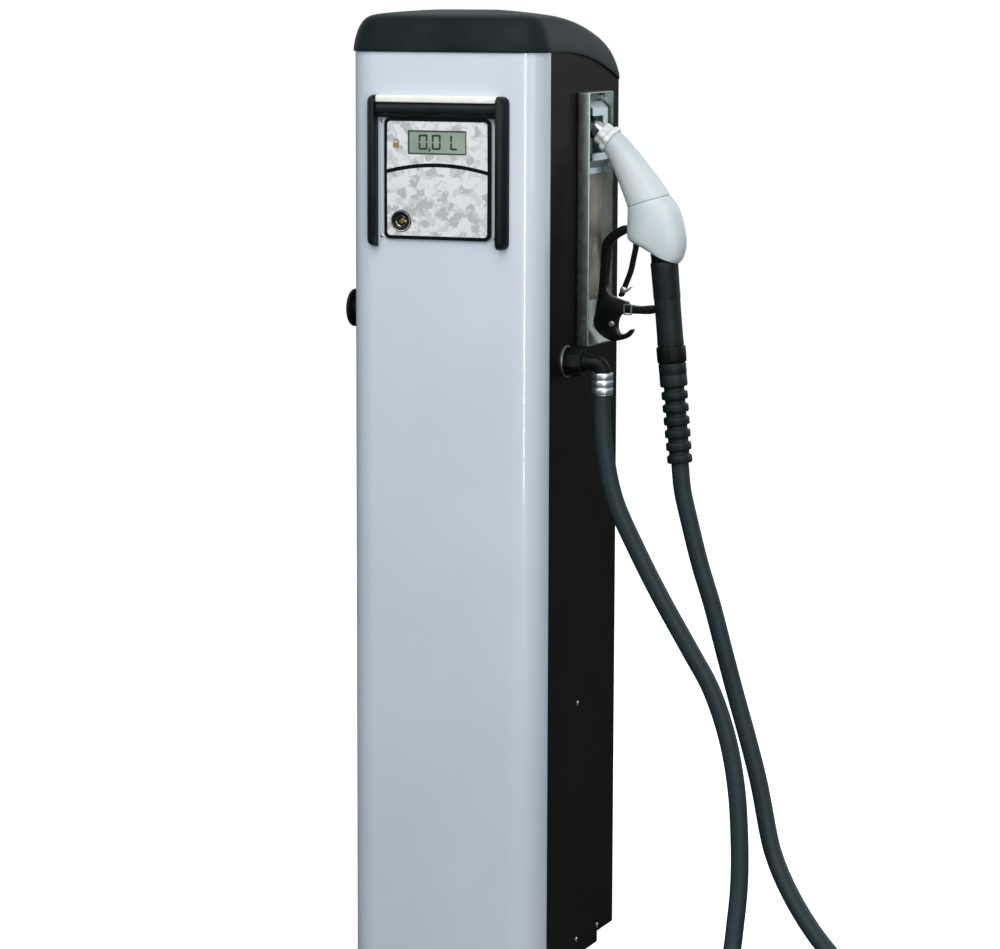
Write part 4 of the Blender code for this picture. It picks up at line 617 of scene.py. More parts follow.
# Screen print in two greys, in blotches of 12 to 20 mm under a faint satin coat.
film, tree, shader = material("mottled_grey_screen_print", "#C9CCCF", 0.32, Coat_Weight=0.35, Coat_Roughness=0.15)
where = place_on(tree)
broad = add(tree, "ShaderNodeTexNoise", {"Vector": where, "Scale": 50.0, "Detail": 2.0, "Roughness": 0.55})
small = add(tree, "ShaderNodeTexNoise", {"Vector": where, "Scale": 84.0, "Detail": 2.0, "Distortion": 0.6})
ground_tone = ramped(tree, broad.outputs["Fac"], "#B0B2B3", "#DADBDC", 0.44, 0.49)
spots = ramped(tree, small.outputs["Fac"], "#000000", "#FFFFFF", 0.53, 0.59)
blotch = add(tree, "ShaderNodeMix", {"Factor": spots}, data_type="RGBA")
tree.links.new(ground_tone, blotch.inputs["A"])
blotch.inputs["B"].default_value = linear("#C6C8CA")
tree.links.new(blotch.outputs["Result"], shader.inputs["Base Color"])
film_front, film_back = FACE_Y - 0.0042, FACE_Y - 0.0039
arc = [(DISPLAY_X + 0.0780 * s, 1.1780 + 0.0100 * (1 - s * s)) for s in [k / 20 for k in range(-20, 21)]]
upper = [*[(x, z + 0.0028) for x, z in arc], *corner_arc(DISPLAY_X + film_half, 1.2450, 0.0050, 0, 90, 8),
         *corner_arc(DISPLAY_X - film_half, 1.2450, 0.0050, 90, 90, 8)]
rim = round_rect(DISPLAY_X - 0.0456, 1.2030, DISPLAY_X + 0.0456, 1.2376, 0.0020, 5)
piece("film_upper", spun(upper, "XZ", film_front, film_back, 0.0, (rim,)), film, "root", ())
lower = [*[(x, z - 0.0028) for x, z in reversed(arc)],
         *corner_arc(DISPLAY_X - film_half, 1.0917, 0.0050, 180, 90, 8),
         *corner_arc(DISPLAY_X + film_half, 1.0917, 0.0050, 270, 90, 8)]
key_gap = ellipse(key_x, key_z, 0.0160, 0.0160)
piece("film_lower", spun(lower, "XZ", film_front, film_back, 0.0, (key_gap,)), film, "root", ())
# Dark grey ink round the window.
trim = clouded("grey_window_print", "#3A4144", "#343B3E", "#41484B", 90.0, 0.4)
piece("window_rim", spun(rim, "XZ", FACE_Y - 0.00415, film_back, 0.0, (window,)), trim, "root", ())

# Green-grey reflective LCD behind clear glass.
lcd = clouded("reflective_lcd", "#87998A", "#80937F", "#8FA18F", 26.0, 0.22, Coat_Weight=0.3, Coat_Roughness=0.05)
piece("lcd_glass", boxed((DISPLAY_X - 0.0437, FACE_Y - 0.0030, 1.2050), (DISPLAY_X + 0.0437, FACE_Y + 0.0090,
    1.2356), 0.0003, 1), lcd, "root", ("lcd_module",))
# Nearly black crystal of the lit segments.
segment_ink = clouded("dark_lcd_segments", "#1B1F1B", "#161A16", "#20251F", 200.0, 0.4)


def seven_segment(left, foot, width, height, shown, stroke):
    """Bars of one seven-segment figure as (u0, v0, u1, v1) boxes."""
    right, top, middle = left + width, foot + height, foot + height / 2
    cut = stroke * 0.65
    bars = {"a": (left + cut, top - stroke, right - cut, top), "d": (left + cut, foot, right - cut, foot + stroke),
            "f": (left, middle + cut / 2, left + stroke, top - cut / 2), "e": (left, foot + cut / 2, left + stroke,
        middle - cut / 2), "b": (right - stroke, middle + cut / 2, right, top - cut / 2),
            "c": (right - stroke, foot + cut / 2, right, middle - cut / 2)}
    return [bars[s] for s in shown]


bars = [*seven_segment(DISPLAY_X - 0.0290, 1.2098, 0.0138, 0.0218, "abcdef", 0.0028),
        (DISPLAY_X - 0.0134, 1.2072, DISPLAY_X - 0.0110, 1.2122),
        *seven_segment(DISPLAY_X - 0.0085, 1.2098, 0.0138, 0.0218, "abcdef", 0.0028),
        *seven_segment(DISPLAY_X + 0.0200, 1.2098, 0.0122, 0.0218, "def", 0.0028)]
bm = bmesh.new()
for u0, v0, u1, v1 in bars:
    bmesh.ops.create_cube(bm, size=1.0, matrix=Matrix.Translation(((u0 + u1) / 2, FACE_Y - 0.0031, (v0 + v1) / 2)) @
                          Matrix.Diagonal((u1 - u0, 0.0003, v1 - v0, 1)))
piece("lcd_figures", bm, segment_ink, "root")

# Ochre ink of the small sign.
sign_ink = clouded("ochre_print", "#8A7348", "#7F6940", "#957D50", 200.0, 0.45)
lock_x, lock_z = DISPLAY_X - 0.0640, 1.2190
bm = boxed((lock_x - 0.0046, FACE_Y - 0.0044, lock_z - 0.0070), (lock_x + 0.0046, film_front, lock_z))
piece("padlock_sign_body", bm, sign_ink, "root")
shackle = [*corner_arc(lock_x, lock_z + 0.0016, 0.0036, 0, 180, 12), (lock_x - 0.0036, lock_z),
           (lock_x - 0.0023, lock_z), *reversed(corner_arc(lock_x, lock_z + 0.0016, 0.0023, 0, 180, 12)),
           (lock_x + 0.0023, lock_z), (lock_x + 0.0036, lock_z)]
piece("padlock_sign_shackle", spun(shackle, "XZ", FACE_Y - 0.0044, film_front), sign_ink, "root")

# Bright nickel with a faintly warm cast.
nickel = clouded("nickel_plated_brass", "#B5B0A6", "#A39E93", "#C4BFB5", 150.0, 0.22, 1.0)
bezel = [(0.0130, 0.0012), (0.0134, 0.0022), (0.0142, 0.0023), (0.0148, 0.0014), (0.0150, 0.0004),
         (0.0150, -0.0001), (0.0122, -0.0001), (0.0122, -0.015), (0.0112, -0.015), (0.0112, -0.0002),
         (0.0130, -0.0002)]
reader = (key_x, film_front, key_z)
piece("key_ring", turned(bezel, reader, (0, -1, 0), ring=True), nickel, "root", ("key_reader_bezel",))
socket = [(0.0, -0.0034), (0.0058, -0.0034), (0.0062, -0.0012), (0.0084, 0.0008), (0.0124, 0.0016),
          (0.0129, 0.0008), (0.0129, -0.0001), (0.0111, -0.0001), (0.0111, -0.013), (0.0, -0.013)]
piece("key_socket", turned(socket, reader, (0, -1, 0)), frame_abs, "root", ("key_reader_contact",))
inner_ring = [(0.0070, -0.0030), (0.0070, -0.0002), (0.0076, 0.0003), (0.0084, -0.0002), (0.0084, -0.0030)]
piece("key_inner_ring", turned(inner_ring, reader, (0, -1, 0), ring=True), nickel, "root", ())
# Worn bronze of the spring contact.
bronze = clouded("bronze_contact", "#8C6B45", "#7C5D3A", "#9C7B52", 300.0, 0.35, 1.0)
contact = [(0.0, -0.0014), (0.0034, -0.0014), (0.0042, -0.0020), (0.0044, -0.0036), (0.0, -0.0036)]
piece("key_contact", turned(contact, reader, (0, -1, 0)), bronze, "root", ())
heads = {"Head Radius": 0.0024, "Head Height": 0.0012, "Recess Radius": 0.0009, "Finish": stainless,
         "Recess Painted Shade": recess_black, "Turn": (quarter, 0, 0)}
grown("display_screws", [(DISPLAY_X + s * 0.0878, FACE_Y, z) for s in (-1, 1) for z in (1.0850, 1.2500)], screws,
      heads, "root")
# Green solder mask, the copper under it showing in squares of 4 mm.
circuit, tree, shader = material("green_solder_mask", "#1C5B38", 0.4)
tracks = add(tree, "ShaderNodeTexVoronoi", {"Vector": place_on(tree), "Scale": 260.0}, distance="MANHATTAN")
tree.links.new(ramped(tree, tracks.outputs["Distance"], "#2F7A4C", "#174D30"), shader.inputs["Base Color"])
paint(circuit, "control_board")
paint(frame_abs, "display_housing")

# ------------------------------------------------------------------ nozzle holster
# A galvanised sheet tray on the side panel with a bright folded bracket that the spout hangs in. The zinc has
# the large flat crystals of hot-dip coating; the bracket is brushed stainless.
NOZZLE_Y = 0.037
galvanised, tree, shader = material("hot_dip_galvanised_steel", "#8A918D", 0.36, 1.0)
spangle = add(tree, "ShaderNodeTexVoronoi", {"Vector": place_on(tree), "Scale": 130.0})
tree.links.new(ramped(tree, spangle.outputs["Color"], "#8A938F", "#98A19D"), shader.inputs["Base Color"])
tree.links.new(ranged(tree, spangle.outputs["Distance"], 0.30, 0.46), shader.inputs["Roughness"])
lo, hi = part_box("holster_tray")
tray = carved(boxed(lo, hi, 0.0024, 3), boxed((lo.x + 0.0015, lo.y + 0.0015, lo.z + 0.0015),
                                              (hi.x + 0.01, hi.y - 0.0015, hi.z - 0.0015), 0.0008),
              boxed((lo.x - 0.01, NOZZLE_Y - 0.0155, 1.2219), (lo.x + 0.006, NOZZLE_Y + 0.0155, 1.2559), 0.003))
piece("tray_pan", tray, galvanised, "root", ("holster_tray",), 30)
sill = [(lo.x + 0.0016, 0.9460), (lo.x + 0.0016, 0.9448), (hi.x - 0.0012, 0.9222), (hi.x - 0.0002, 0.9222),
        (hi.x - 0.0002, 0.9232)]
piece("tray_sill", spun(sill, "XZ", lo.y + 0.0017, hi.y - 0.0017), galvanised, "root", ())
brushed, tree, shader = material("brushed_stainless_steel", "#D2E0E8", 0.44, 1.0)
grainway = add(tree, "ShaderNodeMapping", {"Vector": place_on(tree), "Scale": (1.0, 0.06, 1.0)})
lines = add(tree, "ShaderNodeTexNoise", {"Vector": grainway.outputs[0], "Scale": 1500.0, "Detail": 2.0})
tree.links.new(ramped(tree, lines.outputs["Fac"], "#C4D3DB", "#E0ECF2"), shader.inputs["Base Color"])
bumped(tree, shader, lines.outputs["Fac"], 0.12, 0.0001)
seat, face = 0.1521, 0.1641
fold = [(seat + 0.0015, 1.1700), (seat + 0.0015, 1.1780), (face, 1.1900), (face, 1.2655), (seat + 0.0015, 1.2755)]
back = [(x - 0.0015, z + dz) for (x, z), dz in zip(fold, (0, 0.0007, 0.0007, -0.0007, -0.0007))]
bracket = carved(spun([*fold, *reversed(back)], "XZ", 0.016, 0.078),
                 boxed((seat - 0.01, 0.006, 1.2004), (face + 0.01, NOZZLE_Y + 0.0218, 1.2549), 0.002))
piece("bracket_fold", bracket, brushed, "root", ("spout_bracket",), 25)
bolt = [(0.0, 0.0040), (0.0040, 0.0040), (0.0050, 0.0033), (0.0050, 0.0), (0.0, 0.0)]
piece("bracket_bolt", turned(bolt, (seat, 0.0765, 1.2810), (1, 0, 0), 6), stainless, "root", ("holster_bolt",),
      20)
floor_plate = boxed((0.1522, NOZZLE_Y - 0.019, 0.985), (0.1530, NOZZLE_Y + 0.045, 1.168), 0.0003, 1)
# Thin warm grey steel plate on the tray's inner face, mottled in patches of 36 mm.
warm_grey_steel = clouded("warm_grey_steel_plate", "#8E887C", "#7F7A70", "#9D978B", 28.0, 0.38, 1.0, rough=(0.32, 0.46))
piece("tray_floor_plate", floor_plate, warm_grey_steel, "root", ())
paint(frame_abs, "spout_socket")

# ------------------------------------------------------------------ hose hook
# A turned black moulding on the other side, for hanging the hose's spare loops over. It is of the lid's black
# ABS, with a rolled rim that keeps the hose from slipping off.
hook = [(0.0, 0.0385), (0.0240, 0.0385), (0.0265, 0.0378), (0.0277, 0.0365), (0.0280, 0.0350), (0.0280, 0.0340),
        (0.0272, 0.0328), (0.0255, 0.0322), (0.0175, 0.0312), (0.0156, 0.0296), (0.0150, 0.0270), (0.0150, 0.0020),
        (0.0165, 0.0), (0.0, 0.0)]
piece("hook_post", turned(hook, (-0.1503, -0.051, 0.969), (-1, 0, 0), 64), black_abs, "root", ("hose_hook",))

# ------------------------------------------------------------------ pump, motor and meter
# Inside the column: a painted iron pump head on a finned motor, and an aluminium pulse meter between steel
# pipes. The iron is pitted by 2 mm under its blue-grey paint, and turned brass keeps fine tool marks.
iron = clouded("painted_grey_iron", "#2C3840", "#263138", "#34424B", 70.0, 0.55, grain=(450.0, 0.5, 0.0006, 4.0))
paint(iron, "pump_body", "pump_cover")
# Grey enamel over a fine casting.
enamel = clouded("grey_machine_enamel", "#6C7378", "#646B70", "#767D82", 30.0, 0.4,
                 grain=(400.0, 0.25, 0.0004, 3.0))
paint(enamel, "motor_housing", "power_box")
# Bare die-cast aluminium, mottled by 8 mm.
casting = clouded("die_cast_aluminium", "#A9ABAC", "#989A9C", "#B6B8B8", 120.0, 0.45, 1.0, dents=(0.3, 0.0004))
paint(casting, "meter_body", "nozzle_body")
brass, tree, shader = material("turned_brass", "#B79A55", 0.3, 1.0)
marks = add(tree, "ShaderNodeTexWave", {"Vector": place_on(tree), "Scale": 900.0, "Distortion": 2.0})
colour, patches = cloudy(tree, "#A68A48", "#C6A964", 200.0)
tree.links.new(colour, shader.inputs["Base Color"])
bumped(tree, shader, marks.outputs["Fac"], 0.1, 0.0001)
paint(brass, "pump_impeller", "meter_rotor", "nozzle_valve")
# Varnished copper wire laid in fine rows.
winding, tree, shader = material("varnished_copper_winding", "#9C5A2E", 0.4, 1.0)
turns = add(tree, "ShaderNodeTexWave", {"Vector": place_on(tree), "Scale": 420.0, "Distortion": 0.5})
tree.links.new(ramped(tree, turns.outputs["Fac"], "#5E3218", "#B06B3A"), shader.inputs["Base Color"])
paint(winding, "motor_stator")
# Ground steel of the shaft.
ground = clouded("ground_steel", "#8F9294", "#84878A", "#9EA1A2", 240.0, 0.3, 1.0)
paint(ground, "drive_shaft", "motor_rotor")
paint(frame_abs, "motor_fan", "fan_cover")

# ------------------------------------------------------------------ hose outlet
# A black nylon elbow held in the side panel by an eight-sided union nut, and an aluminium ferrule crimped over
# the hose in three bands.


def swept(path, radius, sides, capped=True):
    """A round bar along a path, as a bmesh; the radius may be a function of the share of the way along."""
    bm = bmesh.new()
    around = bm.verts.layers.float_vector.new("along")
    rows, side, run = [], None, 0.0
    total = sum((b - a).length for a, b in zip(path, path[1:]))
    for k, place in enumerate(path):
        ahead = (path[min(k + 1, len(path) - 1)] - path[max(k - 1, 0)]).normalized()
        side = ahead.orthogonal().normalized() if side is None else (side - ahead * side.dot(ahead)).normalized()
        across = ahead.cross(side)
        run += (place - path[k - 1]).length if k else 0.0
        size = radius(run / total) if callable(radius) else radius
        row = []
        for n in range(sides):
            turn = 2 * math.pi * n / sides
            point = bm.verts.new(place + size * (side * math.cos(turn) + across * math.sin(turn)))
            point[around] = (run, turn, 0.0)
            row.append(point)
        rows.append(row)
    for first, second in zip(rows, rows[1:]):
        joined(bm, first, second)
    if capped:
        bm.faces.new(list(reversed(rows[0])))
        bm.faces.new(rows[-1])
    return bm


# Black nylon with glass fibre, slightly rough by 1.5 mm.
nylon = clouded("black_glass_filled_nylon", "#090C0C", "#090B0B", "#101313", 90.0, 0.38, Specular_IOR_Level=0.10,
                grain=(700.0, 0.25, 0.0003, 3.0))
OUTLET = Vector((SIDE_X + 0.0003, -0.051, 0.903))
DROP_X = 0.2070
nut = [(0.0112, 0.0287), (0.0195, 0.0287), (0.0215, 0.0270), (0.0222, 0.0250), (0.0222, 0.0050), (0.0212, 0.0032),
       (0.0112, 0.0032)]
bm = turned(nut, OUTLET, (1, 0, 0), 8, ring=True)
bmesh.ops.rotate(bm, verts=bm.verts, cent=OUTLET, matrix=Matrix.Rotation(math.radians(12), 3, "X"))
piece("union_nut", bm, nylon, "root", ("outlet_nut",), 20)
washer = [(0.0114, 0.0028), (0.0230, 0.0028), (0.0235, 0.0022), (0.0235, 0.0), (0.0114, 0.0)]
piece("union_washer", turned(washer, OUTLET, (1, 0, 0), 64, ring=True), zinc, "root", ())
elbow = [(0.120, OUTLET.y, OUTLET.z), (0.1780, OUTLET.y, OUTLET.z), (0.1930, OUTLET.y, OUTLET.z)]
elbow += [(0.1935 + 0.0135 * math.sin(math.radians(a)), OUTLET.y, 0.8895 + 0.0135 * math.cos(math.radians(a)))
          for a in range(6, 91, 6)]
elbow += [(DROP_X, OUTLET.y, 0.8850), (DROP_X, OUTLET.y, 0.8610)]
bm = swept([Vector(p) for p in elbow], 0.0116, 40)
piece("outlet_bend", bm, nylon, "root", ("outlet_elbow",), 50)
shoulder = [(0.0112, 0.0060), (0.0130, 0.0060), (0.0138, 0.0050), (0.0138, 0.0008), (0.0132, 0.0), (0.0112, 0.0)]
piece("elbow_shoulder", turned(shoulder, (0.1790, OUTLET.y, OUTLET.z), (1, 0, 0), 48, ring=True), nylon, "root", ())
# Aluminium dented by the crimping jaws, bright and uneven by 4 mm.
crimped = clouded("crimped_aluminium", "#BCC8CB", "#A6B2B6", "#D2DCDE", 260.0, 0.34, 1.0, dents=(0.2, 0.0003))
barrel = [(0.0108, 0.0323)]
for band_k in range(3):
    top = 0.0323 - 0.01077 * band_k
    barrel += [(0.0146, top), (0.0157, top - 0.0009), (0.0160, top - 0.0022), (0.0160, top - 0.0078),
               (0.0156, top - 0.0090), (0.0147, top - 0.0098)]
barrel += [(0.0147, 0.0), (0.0108, 0.0)]
piece("crimp_ferrule", turned(barrel, (DROP_X, OUTLET.y, 0.8570), (0, 0, 1), 72, ring=True, lobes=8, depth=0.012),
      crimped, "root", ("hose_ferrule",), 40)

# ------------------------------------------------------------------ delivery hose
# 4 m of three-quarter inch fuel hose, 26 mm outside: smooth extruded nitrile cover over textile braid.
# It drops from the outlet, its spare length is coiled on the floor and tied, and it rises to the nozzle.
HOSE_R = 0.013
COIL = Vector((0.580, -0.240, 0.0))


def coil_point(angle, ring, height):
    turn = math.radians(angle)
    return COIL + Vector((ring * math.cos(turn), ring * math.sin(turn), height))


def eased(value, low, high):
    t = min(1.0, max(0.0, (value - low) / (high - low)))
    return t * t * (3 - 2 * t)


def coil_ring(angle):
    """Radius and height of the hose along the coil: two turns on the floor, the last one lying on them."""
    ring = (0.143 - 0.026 * eased(angle, 446, 546) + 0.013 * eased(angle, 785, 880) +
            0.004 * eased(angle, 1090, 1160))
    height = (0.013 + 0.0265 * eased(angle, 755, 835) - 0.0037 * eased(angle, 905, 960) +
              0.0125 * eased(angle, 1095, 1175))
    return ring, height


drop = [
    (DROP_X, -0.051, 0.8680), (DROP_X, -0.051, 0.8567), (0.2073, -0.051, 0.8200), (0.2118, -0.051, 0.7720),
    (0.2278, -0.051, 0.7040), (0.2624, -0.051, 0.6330), (0.3015, -0.051, 0.5630), (0.3452, -0.051, 0.4920),
    (0.3790, -0.052, 0.4360), (0.4050, -0.056, 0.3700), (0.4230, -0.066, 0.3000), (0.4330, -0.078, 0.2250),
    (0.4370, -0.0895, 0.1600), (0.4375, -0.1093, 0.0980), (0.4375, -0.1210, 0.0691), (0.4375, -0.1402, 0.0445),
    (0.4372, -0.1654, 0.0262), (0.4372, -0.1947, 0.0155), (0.4370, -0.2220, 0.0131),
]
wound = [coil_point(a, *coil_ring(a)) for a in range(180, 1081, 15)]
leaving = [*[coil_point(a, *coil_ring(a)) for a in (1080, 1095, 1110, 1125)],
           (0.6466, -0.1246, 0.0429), (0.6212, -0.1102, 0.0483), (0.5936, -0.0948, 0.0610)]
rise = [
    (0.5649, -0.0788, 0.0798), (0.5367, -0.0629, 0.1032), (0.5103, -0.0475, 0.1303), (0.4870, -0.0332, 0.1596),
    (0.4681, -0.0205, 0.1899), (0.4550, -0.0100, 0.2200),
    (0.4320, 0.0120, 0.2900), (0.4080, 0.0270, 0.3550), (0.3870, 0.0360, 0.4120), (0.3693, 0.0370, 0.4710),
    (0.3482, 0.0370, 0.5445), (0.3288, 0.0370, 0.6030), (0.3126, 0.0370, 0.6620), (0.3005, 0.0370, 0.7110),
    (0.29602, 0.0370, 0.7516), (0.2948, 0.0370, 0.7650),
]
# Nearly matt green-black rubber, dusty in patches of 11 mm, with faint rings left by the extruder.
nitrile, tree, shader = material("extruded_nitrile_rubber", "#20292B", 0.50, Specular_IOR_Level=0.2)
where = add(tree, "ShaderNodeAttribute", attribute_name="along")
cloth = add(tree, "ShaderNodeTexNoise", {"Vector": place_on(tree), "Scale": 90.0, "Detail": 4.0})
tree.links.new(ramped(tree, cloth.outputs["Fac"], "#192325", "#29363A"), shader.inputs["Base Color"])
streaks = add(tree, "ShaderNodeTexWave", {
    "Vector": where.outputs["Vector"], "Scale": 160.0, "Distortion": 1.5, "Detail": 2.0}, bands_direction="X")
hide_bump = add(tree, "ShaderNodeBump", {"Height": streaks.outputs["Fac"], "Strength": 0.05, "Distance": 0.0003})
fine_bump = add(tree, "ShaderNodeBump", {
    "Height": cloth.outputs["Fac"], "Strength": 0.12, "Distance": 0.0004, "Normal": hide_bump.outputs[0]})
tree.links.new(fine_bump.outputs[0], shader.inputs["Normal"])

lower_path = smooth_path([*drop, *wound[1:]], 0.010)
upper_path = smooth_path([*leaving, *rise], 0.010)
lower_hose = piece("hose_to_coil", swept(lower_path, HOSE_R, 28), nitrile, "root",
                   ("hose_drop", "hose_coil"), 60)
upper_hose = piece("hose_to_nozzle", swept(upper_path, HOSE_R, 28), nitrile, None, ("hose_rise",),
                   60)
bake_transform(upper_hose)


# Matt nylon webbing, ribbed across.
strap_web, tree, shader = material("black_nylon_strap", "#141617", 0.75, Sheen_Weight=0.2)
ribs = add(tree, "ShaderNodeTexWave", {"Vector": place_on(tree), "Scale": 380.0}, bands_direction="Y")
weave = add(tree, "ShaderNodeBump", {"Height": ribs.outputs["Fac"], "Strength": 0.5, "Distance": 0.0004})
tree.links.new(weave.outputs[0], shader.inputs["Normal"])
bm = bmesh.new()
loop = [(0.1030, 0.0012), (0.1570, 0.0012), (0.1590, 0.0140), (0.1575, 0.0260), (0.1450, 0.0465), (0.1370, 0.0500),
        (0.1230, 0.0500), (0.1150, 0.0465), (0.1030, 0.0260), (0.1012, 0.0140)]
outline = smooth_path([Vector((r, 0, z)) for r, z in [*loop, loop[0]]], 0.004)[:-1]
rims = []
for wall in (0.0, 0.0011):
    for along in (-0.0125, 0.0125):
        rims.append([bm.verts.new((COIL.x + p.x + wall * (1 if p.x > 0.13 else -1), COIL.y + along,
                                   max(0.0002, p.z + (wall if p.z > 0.02 else -wall)))) for p in outline])
for first, second in ((rims[0], rims[1]), (rims[1], rims[3]), (rims[3], rims[2]), (rims[2], rims[0])):
    joined(bm, first, second)
bmesh.ops.recalc_face_normals(bm, faces=bm.faces)
coil_tie = piece("coil_strap", bm, strap_web, "root")

# ------------------------------------------------------------------ automatic nozzle
# An aluminium body under a white moulded polypropylene cover, a black guard and trigger, and a bright bent
# spout with a milky splash collar. The cover is in two halves that meet in a fine dark joint.
HANDLE_TOP = Vector((0.2680, NOZZLE_Y, 1.0506))
HANDLE_WAY = Vector((0.0933, 0.0, -0.9956)).normalized()
NECK = Vector((0.1868, NOZZLE_Y, 1.2178))
NECK_WAY = Vector((-0.80, 0.0, 0.60))
sections = [
    ((0.1868, 1.2178), 0.0180, 0.0180, 53.0), ((0.2001, 1.2006), 0.0212, 0.0200, 51.0),
    ((0.2166, 1.1770), 0.0246, 0.0222, 36.0), ((0.2338, 1.1499), 0.0292, 0.0250, 27.0),
    ((0.2440, 1.1320), 0.0330, 0.0268, 17.7), ((0.2515, 1.1114), 0.0400, 0.0283, 13.4),
    ((0.2560, 1.0858), 0.0440, 0.0285, 4.4), ((0.2592, 1.0707), 0.0420, 0.0272, -4.0),
    ((0.2650, 1.0590), 0.0325, 0.0248, -14.0), ((0.2688, 1.0520), 0.0230, 0.0228, -22.0)]


def cover_station(place):
    """The cover's section at a fractional place along its list, smoothed through its neighbours."""
    k = min(int(place), len(sections) - 2)
    flat = [(*middle, *rest) for middle, *rest in sections]
    a, b, c, d = (flat[max(0, min(len(flat) - 1, k + o))] for o in (-1, 0, 1, 2))
    return [between(*near, place - k) for near in zip(a, b, c, d)]


def cover_outline(place, wall, sides=64):
    x, z, half_in, half_across, tilt = cover_station(place)
    way = Vector((math.cos(math.radians(tilt)), 0, math.sin(math.radians(tilt))))
    ring = []
    for n in range(sides):
        turn = 2 * math.pi * n / sides
        c, s = math.cos(turn), math.sin(turn)
        c, s = math.copysign(abs(c) ** 0.94, c), math.copysign(abs(s) ** 0.94, s)
        ring.append(Vector((x, NOZZLE_Y, z)) + way * (half_in - wall) * c +
                    Vector((0, (half_across - wall) * s, 0)))
    return ring


def hollow(outer_rings, inner_rings):
    """A thick-walled skin between matching outer and inner rings."""
    bm = bmesh.new()
    walls = [[[bm.verts.new(p) for p in ring] for ring in rings] for rings in (outer_rings, inner_rings)]
    for rows in walls:
        for first, second in zip(rows, rows[1:]):
            joined(bm, first, second)
    for end in (0, -1):
        joined(bm, walls[0][end], walls[1][end])
    bmesh.ops.recalc_face_normals(bm, faces=bm.faces)
    return bm


# Soft white polypropylene that lets a little light in, with a matt grain of 1 mm.
white_pp = clouded("moulded_white_polypropylene", "#C1CBCE", "#BDC8CC", "#C6CFD1", 22.0, 0.38,
                   Subsurface_Weight=0.12, Subsurface_Scale=0.004, Specular_IOR_Level=0.4,
                   grain=(900.0, 0.12, 0.0002))
for name, start, stop, node in (("cover_nose", 0.0, 3.97, "nozzle_cover_front"),
                                ("cover_hood", 4.0, 9.0, "nozzle_cover_rear")):
    places = [start + (stop - start) * k / 44 for k in range(45)]
    rims = [0.0007 * max(0.0, 1 - min(abs(p - start), abs(p - stop)) / 0.05) for p in places]
    shell = hollow([cover_outline(p, r) for p, r in zip(places, rims)],
                   [cover_outline(p, 0.0022 + r) for p, r in zip(places, rims)])
    if node == "nozzle_cover_rear":
        trigger_slot = boxed((0.2125, NOZZLE_Y - 0.0083, 1.045), (0.2420, NOZZLE_Y + 0.0083, 1.0830), 0.003)
        shell = carved(shell, trigger_slot)
    piece(name, shell, white_pp, "nozzle", (node,), 40)

# Drawn and polished steel tube.
polished = clouded("polished_steel_tube", "#C6C8C8", "#B7B9BA", "#D3D5D5", 90.0, 0.18, 1.0)
SPOUT_Z, BEND_R, BEND_ANGLE = 1.2404, 0.035, 36.87
start = NECK + NECK_WAY * 0.0003
knee_x = start.x + (SPOUT_Z - start.z) / NECK_WAY.z * NECK_WAY.x
reach = BEND_R * math.tan(math.radians(BEND_ANGLE / 2))
knee = Vector((knee_x - reach, NOZZLE_Y, SPOUT_Z))
bend = [knee + Vector((BEND_R * math.sin(math.radians(a)), 0, -BEND_R * (1 - math.cos(math.radians(a)))))
        for a in range(36, 0, -3)]
line = [start, *bend, knee, Vector((0.100, NOZZLE_Y, SPOUT_Z)), Vector((0.060, NOZZLE_Y, SPOUT_Z))]


def rings_along(path, radius, sides=40):
    rings, side = [], Vector((0, 1, 0))
    for k, at in enumerate(path):
        ahead = (path[min(k + 1, len(path) - 1)] - path[max(k - 1, 0)]).normalized()
        side = (side - ahead * side.dot(ahead)).normalized()
        across = ahead.cross(side)
        turns = [2 * math.pi * n / sides for n in range(sides)]
        rings.append([at + radius * (side * math.cos(turn) + across * math.sin(turn)) for turn in turns])
    return rings


piece("spout_tube", hollow(rings_along(line, 0.0120), rings_along(line, 0.0108)), polished, "nozzle", ("spout",),
      50)
# Milky soft polyethylene, whiter than the cover.
milky = clouded("milky_low_density_polyethylene", "#EEF4F4", "#E8EFF0", "#F4F8F8", 120.0, 0.34,
                Transmission_Weight=0.15, Subsurface_Weight=0.2, Subsurface_Scale=0.003, IOR=1.5)
collar = [(0.0125, 0.0215), (0.0150, 0.0215), (0.0162, 0.0208), (0.0168, 0.0194), (0.0168, 0.0102),
          (0.0174, 0.0090), (0.0188, 0.0086), (0.0200, 0.0074), (0.0205, 0.0060), (0.0205, 0.0018),
          (0.0198, 0.0004), (0.0186, 0.0), (0.0125, 0.0)]
piece("splash_rings", turned(collar, NECK + NECK_WAY * 0.0006, NECK_WAY, 144, ring=True, lobes=8, depth=0.055),
      milky, "nozzle", ("splash_collar",), 40)


def ring_tree():
    """A row of round rings along a straight line, such as the grip's finger ribs."""
    tree, given = grower("ring_row", {"Ring Radius": 0.02, "Rib Radius": 0.0008}, ("Finish",))
    hoop = add(tree, "GeometryNodeCurvePrimitiveCircle", {"Resolution": 48, "Radius": given["Ring Radius"]})
    rib = add(tree, "GeometryNodeCurvePrimitiveCircle", {"Resolution": 8, "Radius": given["Rib Radius"]})
    bead = add(tree, "GeometryNodeCurveToMesh", {"Curve": hoop.outputs[0], "Profile Curve": rib.outputs[0]})
    row = add(tree, "GeometryNodeInstanceOnPoints", {
        "Points": given["Geometry"], "Instance": bead.outputs[0], "Rotation": given["Turn"]})
    solid = add(tree, "GeometryNodeRealizeInstances", {"Geometry": row.outputs[0]})
    painted = add(tree, "GeometryNodeSetMaterial", {"Geometry": solid.outputs[0], "Material": given["Finish"]})
    add(tree, "NodeGroupOutput", {0: painted.outputs[0]})
    return tree


